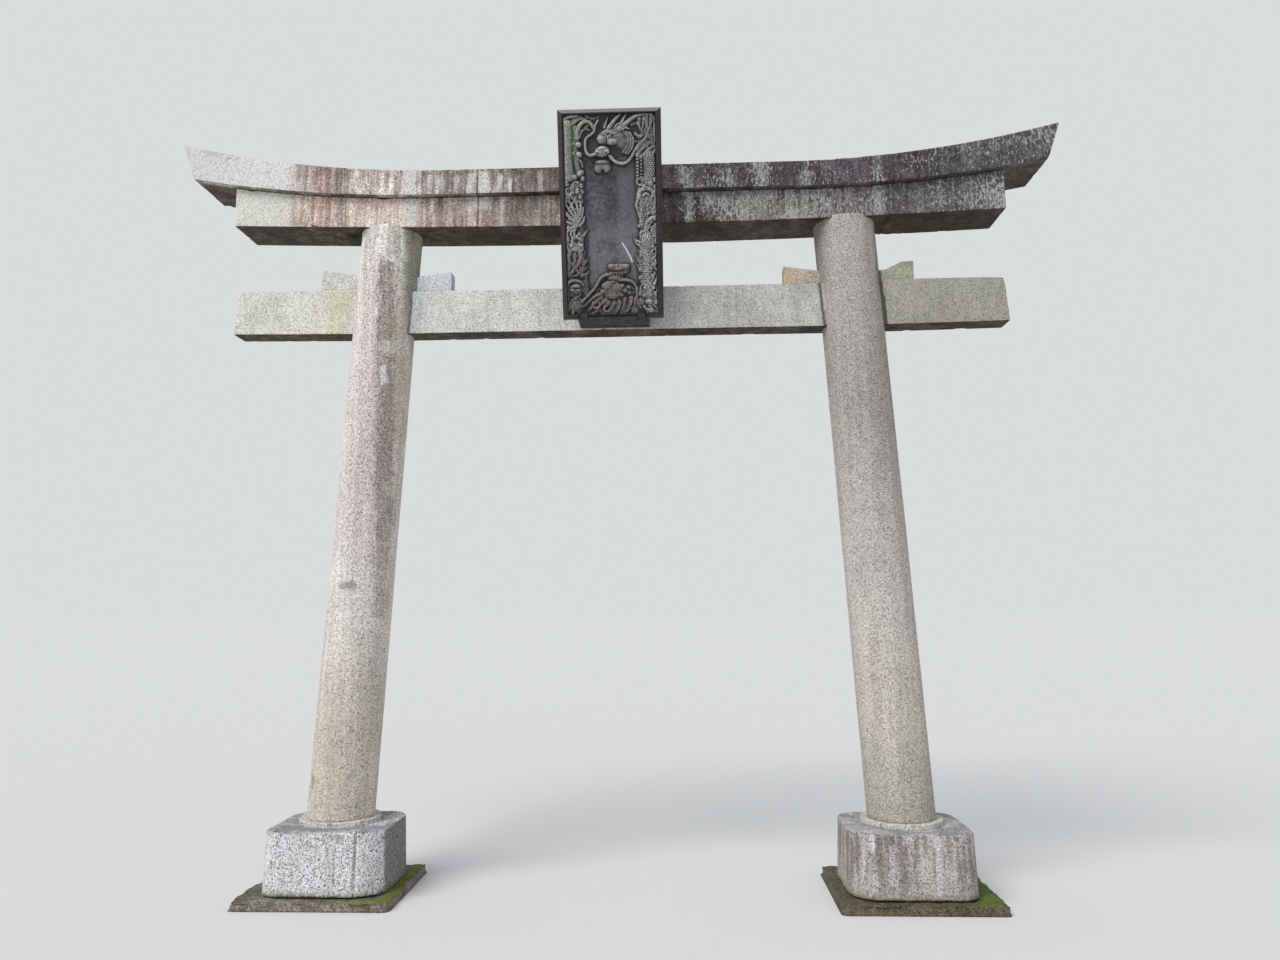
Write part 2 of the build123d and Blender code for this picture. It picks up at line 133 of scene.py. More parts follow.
def ringSurface(name, rings, marks):
    # Closed rings of points, station by station, joined by quads; a fan to each end ring's middle closes it.
    stations, around = rings.shape[:2]
    poles = [rings[0].mean(axis=0), rings[-1].mean(axis=0)]
    points = np.concatenate([rings.reshape(-1, 3), poles])
    here = np.arange(stations - 1)[:, None] * around
    j = np.arange(around)[None, :]
    after = (j + 1) % around
    quads = np.stack([here + j, here + after, here + around + after, here + around + j], -1).reshape(-1, 4)
    j, after = j[0], after[0]
    last = (stations - 1) * around
    pole = np.full(around, stations * around)
    startFan = np.stack([pole, after, j], -1)
    endFan = np.stack([pole + 1, last + j, last + after], -1)
    a, b, c = (points[quads[:, k]] for k in range(3))
    if np.einsum("ij,ij->i", a - points.mean(axis=0), np.cross(b - a, c - a)).sum() < 0:
        quads, startFan, endFan = quads[:, ::-1], startFan[:, ::-1], endFan[:, ::-1]
    mesh = bpy.data.meshes.new(name)
    mesh.from_pydata(points.tolist(), [], quads.tolist() + startFan.tolist() + endFan.tolist())
    mesh.polygons.foreach_set("use_smooth", np.ones(len(mesh.polygons), dtype=bool))
    for label, values in marks.items():
        flat = np.broadcast_to(values, (stations, around)).ravel()
        addFloat(mesh, label, np.concatenate([flat, [flat[0], flat[-1]]]))
    mesh.update()
    return addObject(name, mesh)


def surfaceNormals(rings):
    # Cross product of the grid's two directions at every point, turned to face outward.
    along = np.gradient(rings, axis=0)
    around = np.roll(rings, -1, axis=1) - np.roll(rings, 1, axis=1)
    normal = np.cross(along, around)
    normal /= np.linalg.norm(normal, axis=-1, keepdims=True) + 1e-12
    outward = np.einsum("ijk,ijk->ij", normal, rings - rings.mean(axis=(0, 1))).sum()
    return normal if outward > 0 else -normal


def roundedOutline(corners, radii, spacing):
    # A polygon walked round once with an arc at each corner; also how near each point is to an arc, 0 to 1.
    corners = np.asarray(corners, float)
    count = len(corners)
    arcs = []
    for k in range(count):
        before, here, after = corners[k - 1], corners[k], corners[(k + 1) % count]
        a = (before - here) / np.linalg.norm(before - here)
        b = (after - here) / np.linalg.norm(after - here)
        half = np.arccos(np.clip(a @ b, -1, 1)) / 2
        reach = radii[k] / np.tan(half)
        centre = here + (a + b) / np.linalg.norm(a + b) * radii[k] / np.sin(half)
        arcs.append((here + a * reach, here + b * reach, centre, radii[k]))
    points, nearArc = [], []
    for k, (start, stop, centre, radius) in enumerate(arcs):
        angleA = np.arctan2(*(start - centre)[::-1])
        angleB = np.arctan2(*(stop - centre)[::-1])
        turn = (angleB - angleA + pi) % (2 * pi) - pi
        t = np.linspace(0, 1, max(3, int(abs(turn) * radius / spacing)) + 1)
        angle = angleA + turn * t
        points.append(centre + radius * np.stack([np.cos(angle), np.sin(angle)], -1))
        nearArc.append(np.ones(len(t)))
        target = arcs[(k + 1) % count][0]
        gap = np.linalg.norm(target - stop)
        t = np.linspace(0, 1, max(2, int(gap / spacing)) + 1)[1:-1]
        points.append(stop + (target - stop) * t[:, None])
        nearArc.append(np.exp(-((np.minimum(t, 1 - t) * gap / 0.012) ** 2)))
    return np.concatenate(points), np.concatenate(nearArc)


def weatherStone(rings, arris, still, seed, wear):
    # Moves the surface inward by a broad swell, fine tooling, and chips that only the arrises get.
    normal = surfaceNormals(rings)
    swell = layeredNoise(rings, wear["swellSize"], seed, 2) * wear["swell"]
    tooling = layeredNoise(rings, wear["toolSize"], seed + 5, 3) * wear["tool"]
    chip = np.clip(layeredNoise(rings, wear["chipSize"], seed + 9, 3) - wear["chipFrom"], 0, 1)
    chips = chip * wear["chip"] / (1 - wear["chipFrom"]) * arris
    return rings - normal * ((swell + tooling + chips) * still)[..., None]


def finishPiece(piece, node, material):
    piece.data.materials.append(material)
    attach(piece, "root")
    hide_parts(node)
    return piece


# Materials: small helpers that add one node each.
def tone(red, green, blue):
    # A colour as it looks in daylight, 0 to 255, turned into Blender's linear values.
    value = np.array([red, green, blue]) / 255
    return tuple(float(v) for v in np.where(value > 0.04045, ((value + 0.055) / 1.055) ** 2.4, value / 12.92))


def tones(*stops):
    # A ramp of such colours, each stop a place along the axis, then red, green and blue.
    return [(place, tone(*colour)) for place, *colour in stops]


def addNode(tree, kind, inputs=None, **settings):
    node = tree.nodes.new(kind)
    for key, value in settings.items():
        setattr(node, key, value)
    for key, value in (inputs or {}).items():
        if isinstance(value, bpy.types.NodeSocket):
            tree.links.new(value, node.inputs[key])
        elif isinstance(value, tuple) and node.inputs[key].type == "RGBA":
            node.inputs[key].default_value = (*value[:3], 1)
        else:
            node.inputs[key].default_value = value
    return node


def addMath(tree, operation, a, b=0.5, c=0.0):
    return addNode(tree, "ShaderNodeMath", {0: a, 1: b, 2: c}, operation=operation).outputs[0]


def addSway(tree, value, noise, reach):
    # The value moved up or down by a noise that is 0.5 on average.
    return addMath(tree, "MULTIPLY_ADD", addMath(tree, "SUBTRACT", noise, 0.5), reach, value)


def addVector(tree, operation, a, b):
    return addNode(tree, "ShaderNodeVectorMath", {0: a, 1: b}, operation=operation).outputs[0]


def addMix(tree, share, a, b, blend="MIX"):
    inputs = {0: share, 6: a, 7: b}
    return addNode(tree, "ShaderNodeMix", inputs, data_type="RGBA", blend_type=blend).outputs[2]


def addRange(tree, value, low, high, toLow=0.0, toHigh=1.0, kind="SMOOTHSTEP"):
    inputs = {0: value, 1: low, 2: high, 3: toLow, 4: toHigh}
    return addNode(tree, "ShaderNodeMapRange", inputs, interpolation_type=kind).outputs[0]


def addRamp(tree, value, low, high, stops):
    # Colours or numbers at places between low and high, joined smoothly.
    place = addRange(tree, value, low, high, kind="LINEAR")
    node = addNode(tree, "ShaderNodeValToRGB", {0: place})
    node.color_ramp.interpolation = "EASE"
    for k, (spot, colour) in enumerate(stops):
        spot = (spot - low) / (high - low)
        mark = node.color_ramp.elements[k] if k < 2 else node.color_ramp.elements.new(spot)
        mark.position = spot
        mark.color = (*colour, 1) if isinstance(colour, tuple) else (colour, colour, colour, 1)
    return node.outputs[0]


def addNoise(tree, vector, scale, detail=3.0, rough=0.55, output=0):
    inputs = {"Vector": vector, "Scale": scale, "Detail": detail, "Roughness": rough}
    return addNode(tree, "ShaderNodeTexNoise", inputs).outputs[output]


def addSplit(tree, vector):
    return addNode(tree, "ShaderNodeSeparateXYZ", {0: vector}).outputs


def addJoin(tree, x, y, z):
    return addNode(tree, "ShaderNodeCombineXYZ", {0: x, 1: y, 2: z}).outputs[0]


def newGroup(name, inputs, outputs):
    # A node group with named sockets; gives the group, what it is given and what it puts out.
    group = bpy.data.node_groups.new(name, "ShaderNodeTree")
    kinds = {"value": "NodeSocketFloat", "vector": "NodeSocketVector"}
    for label, kind, default in inputs:
        socket = group.interface.new_socket(name=label, in_out="INPUT", socket_type=kinds[kind])
        if default is not None:
            socket.default_value = default
    for label, kind in outputs:
        group.interface.new_socket(name=label, in_out="OUTPUT", socket_type=kinds[kind])
    return group, group.nodes.new("NodeGroupInput").outputs, group.nodes.new("NodeGroupOutput").inputs


def placeGroup(tree, group, inputs):
    return addNode(tree, "ShaderNodeGroup", inputs, node_tree=group).outputs


def makeGraniteGrain():
    # Crystals as cells with bent edges, put out as a tint to multiply a colour by: 1 in the ground mass,
    # above 1 in the pale crystals, below 1 in the dark ones and in finer flecks, each cell a little warm or
    # cool.
    group, given, result = newGroup(
        "graniteGrain",
        [("Vector", "vector", None), ("Pale Gain", "value", 1.2), ("Dark Gain", "value", 0.4),
         ("Pale Share", "value", 0.35), ("Dark Share", "value", 0.15), ("Grain Scale", "value", 160.0)],
        [("Tint", "vector"), ("Pale", "value"), ("Height", "value")])
    t, vector, scale = group, given["Vector"], given["Grain Scale"]
    bend = addNoise(t, vector, addMath(t, "MULTIPLY", scale, 1.3), 1.0, 0.5, output=1)
    bend = addVector(t, "SUBTRACT", bend, (0.5, 0.5, 0.5))
    reach = addMath(t, "DIVIDE", 1.4, scale)
    bend = addNode(t, "ShaderNodeVectorMath", {0: bend, 3: reach}, operation="SCALE").outputs[0]
    bent = addVector(t, "ADD", vector, bend)
    coarse = addNode(t, "ShaderNodeTexVoronoi", {"Vector": bent, "Scale": scale}).outputs
    fineScale = addMath(t, "MULTIPLY", scale, 2.1)
    fine = addNode(t, "ShaderNodeTexVoronoi", {"Vector": bent, "Scale": fineScale}).outputs
    cell = addNode(t, "ShaderNodeSeparateColor", {0: coarse["Color"]}).outputs
    small = addNode(t, "ShaderNodeSeparateColor", {0: fine["Color"]}).outputs
    pale = addRange(t, addMath(t, "ADD", cell[0], given["Pale Share"]), 0.94, 1.06)
    dark = addRange(t, addMath(t, "SUBTRACT", given["Dark Share"], cell[1]), -0.03, 0.03)
    fewer = addMath(t, "MULTIPLY", given["Dark Share"], 0.8)
    fleck = addRange(t, addMath(t, "SUBTRACT", fewer, small[2]), -0.02, 0.02)
    black = addMath(t, "MAXIMUM", dark, fleck)
    lighter = addMath(t, "MULTIPLY_ADD", pale, addMath(t, "SUBTRACT", given["Pale Gain"], 1.0), 1.0)
    darker = addMath(t, "MULTIPLY_ADD", black, addMath(t, "SUBTRACT", given["Dark Gain"], 1.0), 1.0)
    value = addMath(t, "MULTIPLY", lighter, darker)
    warm = addMath(t, "MULTIPLY", value, addMath(t, "MULTIPLY_ADD", small[0], 0.05, 0.975))
    cool = addMath(t, "MULTIPLY", value, addMath(t, "MULTIPLY_ADD", small[0], -0.05, 1.025))
    t.links.new(addJoin(t, warm, value, cool), result["Tint"])
    t.links.new(pale, result["Pale"])
    pit = addMath(t, "MULTIPLY", black, -0.35)
    t.links.new(addMath(t, "MULTIPLY_ADD", cell[2], 0.5, pit), result["Height"])
    return group


def overEdge(t, total, given):
    # Full where the total is over an edge that Share lowers, over a band as wide as Soft.
    edge = addMath(t, "MULTIPLY_ADD", given["Share"], -0.5, 0.75)
    over = addMath(t, "DIVIDE", addMath(t, "SUBTRACT", total, edge), given["Soft"])
    return addRange(t, over, -1.0, 1.0)


def makeStreakMask():
    # Rain streaks: noise stretched along the height, broken up by blotches and frayed by grain. Share is how
    # much they cover, Width how many there are to a metre, Length how fast they change downwards.
    group, given, result = newGroup(
        "streakMask",
        [("Vector", "vector", None), ("Share", "value", 0.5), ("Width", "value", 20.0),
         ("Length", "value", 2.0), ("Fray", "value", 0.3), ("Soft", "value", 0.04), ("Seed", "value", 0.0)],
        [("Mask", "value")])
    t, seed = group, given["Seed"]
    moved = addVector(t, "ADD", given["Vector"], addJoin(t, seed, seed, seed))
    stretch = addJoin(t, given["Width"], given["Width"], given["Length"])
    streak = addNoise(t, addVector(t, "MULTIPLY", moved, stretch), 1.0, 2.5, 0.6)
    blotch = addNoise(t, moved, 5.0, 3.0, 0.6)
    grain = addNoise(t, moved, 130.0, 2.0, 0.8)
    total = addSway(t, addSway(t, streak, blotch, 0.55), grain, given["Fray"])
    t.links.new(overEdge(t, total, given), result["Mask"])
    return group


def makePatchMask():
    # Blotches with ragged edges, as lichen, moss and damp make.
    group, given, result = newGroup(
        "patchMask",
        [("Vector", "vector", None), ("Share", "value", 0.5), ("Size", "value", 6.0), ("Fray", "value", 0.3),
         ("Soft", "value", 0.05), ("Seed", "value", 0.0)],
        [("Mask", "value")])
    t, seed = group, given["Seed"]
    moved = addVector(t, "ADD", given["Vector"], addJoin(t, seed, seed, seed))
    broad = addNoise(t, moved, given["Size"], 4.0, 0.6)
    grain = addNoise(t, moved, addMath(t, "MULTIPLY", given["Size"], 14.0), 2.0, 0.7)
    total = addSway(t, broad, grain, given["Fray"])
    t.links.new(overEdge(t, total, given), result["Mask"])
    return group


def makeMarkMask():
    # One drip or stripe: full at Middle, gone at Half from it, between Bottom and Top, with edges that wander
    # with a noise stretched downwards and break up in the grain.
    group, given, result = newGroup(
        "markMask",
        [("Vector", "vector", None), ("Middle", "value", 0.0), ("Half", "value", 0.02), ("Top", "value", 9.0),
         ("Bottom", "value", 0.0)],
        [("Mask", "value")])
    t = group
    place = addSplit(t, given["Vector"])
    wander = addNoise(t, addVector(t, "MULTIPLY", given["Vector"], (70.0, 70.0, 14.0)), 1.0, 2.0, 0.6)
    grain = addNoise(t, given["Vector"], 120.0, 2.0, 0.8)
    gap = addMath(t, "ABSOLUTE", addMath(t, "SUBTRACT", place[0], given["Middle"]))
    inside = addMath(t, "SUBTRACT", 1.0, addMath(t, "DIVIDE", gap, given["Half"]))
    inside = addSway(t, addSway(t, inside, wander, 1.6), grain, 1.4)
    height = addSway(t, place[2], wander, 0.05)
    below = addMath(t, "SUBTRACT", given["Top"], height)
    above = addMath(t, "SUBTRACT", height, given["Bottom"])
    ends = addMath(t, "MULTIPLY", addRange(t, below, 0.0, 0.012), addRange(t, above, 0.0, 0.03))
    t.links.new(addMath(t, "MULTIPLY", addRange(t, inside, 0.0, 0.45), ends), result["Mask"])
    return group


def makeFacing():
    # How far a surface faces up, down, to the front and to the right, each 0 to 1.
    sides = {"Up": (2, 1.0), "Down": (2, -1.0), "Front": (1, -1.0)}
    group, given, result = newGroup("facing", [], [(label, "value") for label in [*sides, "Right"]])
    t = group
    normal = addSplit(t, addNode(t, "ShaderNodeNewGeometry").outputs["Normal"])
    for label, (axis, way) in sides.items():
        t.links.new(addRange(t, addMath(t, "MULTIPLY", normal[axis], way), 0.3, 0.85), result[label])
    t.links.new(addRange(t, normal[0], 0.90, 0.96), result["Right"])
    return group


graniteGrain = makeGraniteGrain()
streakMask = makeStreakMask()
patchMask = makePatchMask()
markMask = makeMarkMask()
facing = makeFacing()


def startMaterial(name):
    material = bpy.data.materials.new(name)
    material.use_nodes = True
    tree = material.node_tree
    coord = tree.nodes.new("ShaderNodeTexCoord").outputs["Object"]
    return material, tree, tree.nodes["Principled BSDF"], coord


def connect(tree, shader, sockets):
    for label, socket in sockets.items():
        tree.links.new(socket, shader.inputs[label])


# The lengths of X, Y and Z that ramps run over, and the top and bottom of a mark that states neither.
axisSpans = ((-2.4, 2.4), (-0.5, 0.6), (0.0, 4.0))
openEnds = (9.0, 0.0)


def alongAxis(t, place, value, axis=0):
    # A list of (place, colour or number) becomes a ramp along that axis; anything else stays as it is.
    return addRamp(t, place[axis], *axisSpans[axis], value) if isinstance(value, list) else value


def patternMask(t, coord, place, layer):
    # The pattern that a layer of weathering or painted shade is laid in: streaks, patches, marks or all over.
    # A slanted one is read at X moved along by that much of Z.
    if "slant" in layer:
        shift = addMath(t, "MULTIPLY", place[2], layer["slant"])
        coord = addVector(t, "ADD", coord, addJoin(t, shift, 0.0, 0.0))
    if layer["kind"] in ("streak", "patch"):
        inputs = {"Vector": coord, "Share": alongAxis(t, place, layer["share"]), "Seed": layer["seed"],
                  "Fray": layer.get("fray", 0.3), "Soft": layer.get("soft", 0.06)}
        if layer["kind"] == "patch":
            return placeGroup(t, patchMask, {**inputs, "Size": layer["size"]})["Mask"]
        inputs = {**inputs, "Width": layer["width"], "Length": layer["length"]}
        return placeGroup(t, streakMask, inputs)["Mask"]
    if layer["kind"] == "marks":
        total = 0.0
        for middle, half, strength, *ends in layer["marks"]:
            top, bottom = ends or openEnds
            inputs = {"Vector": coord, "Middle": middle, "Half": half, "Top": top, "Bottom": bottom}
            mark = addMath(t, "MULTIPLY", placeGroup(t, markMask, inputs)["Mask"], strength)
            total = addMath(t, "MAXIMUM", mark, total)
        return total
    return 1.0


def rangeMask(t, coord, place, faces, layer):
    # Where a layer may show: its strength, its face, and its ranges of X, Y and Z with ragged limits.
    mask = alongAxis(t, place, layer["strength"])
    if "face" in layer:
        mask = addMath(t, "MULTIPLY", faces[layer["face"]], mask)
    labels = enumerate(("inX", "inY", "inZ"))
    limits = [(axis, pair) for axis, label in labels for pair in layer.get(label, [])]
    if limits:
        ragged = addNoise(t, coord, layer.get("raggedScale", 7.0), 4.0, 0.65)
    for axis, (low, high) in limits:
        spot = addSway(t, place[axis], ragged, layer.get("ragged", 0.25))
        mask = addMath(t, "MULTIPLY", addRange(t, spot, low, high), mask)
    return mask


def graniteMaterial(name, look):
    # The stone's colour along one axis, with layers of weathering and of painted shade over it, all
    # multiplied by the crystals' tint; a layer with low and high multiplies the colour by a tint between the
    # two, one with a colour covers it.
    material, t, shader, coord = startMaterial(name)
    place = addSplit(t, coord)
    faces = placeGroup(t, facing, {})
    grain = placeGroup(t, graniteGrain, {
        "Vector": coord, "Pale Gain": look["paleGain"], "Dark Gain": alongAxis(t, place, look["darkGain"]),
        "Pale Share": look["paleShare"], "Dark Share": look["darkShare"], "Grain Scale": look["grainScale"]})
    drift = addNoise(t, coord, 2.2, 4.0, 0.6)
    shade = addRange(t, drift, 0.3, 0.7, 1 - look["drift"], 1 + look["drift"], "LINEAR")
    ground = alongAxis(t, place, look["ground"], look.get("axis", 0))
    colour = addVector(t, "MULTIPLY", ground, addJoin(t, shade, shade, shade))
    for layer in look["layers"]:
        pattern = patternMask(t, coord, place, layer)
        within = rangeMask(t, coord, place, faces, layer)
        if "high" in layer:
            span = tuple(high - low for low, high in zip(layer["low"], layer["high"]))
            inputs = {0: addJoin(t, pattern, pattern, pattern), 1: span, 2: layer["low"]}
            tint = addNode(t, "ShaderNodeVectorMath", inputs, operation="MULTIPLY_ADD").outputs[0]
            colour = addMix(t, within, colour, addVector(t, "MULTIPLY", colour, tint))
        else:
            share = addMath(t, "MULTIPLY", pattern, within)
            if "shown" in layer:
                hidden = addMath(t, "MULTIPLY_ADD", grain["Pale"], -layer["shown"], 1.0)
                share = addMath(t, "MULTIPLY", share, hidden)
            paint = alongAxis(t, place, layer["colour"])
            colour = addMix(t, share, colour, paint, layer.get("blend", "MIX"))
    colour = addVector(t, "MULTIPLY", colour, grain["Tint"])
    rough = addRange(t, drift, 0.3, 0.7, 0.80, 0.96)
    pits = addNoise(t, coord, look.get("pitScale", 120.0), 4.0, 0.7)
    height = addMath(t, "MULTIPLY_ADD", grain["Height"], 0.5, pits)
    bumpInputs = {"Strength": look["bump"], "Distance": 0.004, "Height": height}
    bump = addNode(t, "ShaderNodeBump", bumpInputs).outputs[0]
    connect(t, shader, {"Base Color": colour, "Roughness": rough, "Normal": bump})
    shader.inputs["Specular IOR Level"].default_value = 0.25
    return material


# Layers of weathering and of painted shade. A pair in inX, inY or inZ fades a layer in from its first place
# to its second.
def patchLayer(size, share, seed, strength, **rest):
    return {"kind": "patch", "size": size, "share": share, "seed": seed, "strength": strength, **rest}


def streakLayer(width, length, share, seed, strength, **rest):
    layer = {"kind": "streak", "width": width, "length": length, "share": share, "seed": seed}
    return {**layer, "strength": strength, **rest}


def markLayer(strength, colour, *marks, **rest):
    # A mark is its middle, half its width and its strength, then its top and bottom if it has them.
    return {"kind": "marks", "strength": strength, "colour": colour, "marks": marks, **rest}


def coverLayer(strength, colour, **rest):
    return {"kind": "all", "strength": strength, "colour": colour, **rest}


# Looks of the stones. Along the beams, and from the left stones to the right ones, the colour darkens from
# left to right: partly stain, partly painted shade, as light falls from the left.
fineGrain = {"paleGain": 1.22, "darkGain": 0.44, "paleShare": 0.38, "darkShare": 0.15, "grainScale": 235.0,
             "drift": 0.06, "bump": 0.5}
lintelStreaks = {"kind": "streak", "width": 46.0, "length": 3.2, "fray": 0.75, "soft": 0.16,
                 "low": (1.50, 1.52, 1.50), "high": (0.56, 0.52, 0.51)}
lintelBands = {"kind": "streak", "width": 15.0, "length": 1.6, "fray": 0.35, "soft": 0.14,
               "low": (1.24, 1.24, 1.23), "high": (0.74, 0.71, 0.70)}
lintelSpots = {"kind": "patch", "size": 26.0, "share": 0.5, "fray": 0.9, "soft": 0.10,
               "low": (0.72, 0.70, 0.71), "high": (1.34, 1.36, 1.36)}
lintelSalt = {"kind": "patch", "size": 90.0, "share": 0.42, "fray": 0.3, "soft": 0.10, "seed": 23.0,
              "low": (0.84, 0.83, 0.83), "high": (1.85, 1.88, 1.84)}
lintelSpecks = {"kind": "streak", "width": 85.0, "length": 36.0, "fray": 0.45, "soft": 0.06, "seed": 27.0,
                "inX": [(0.2, 0.3)], "ragged": 0.0}
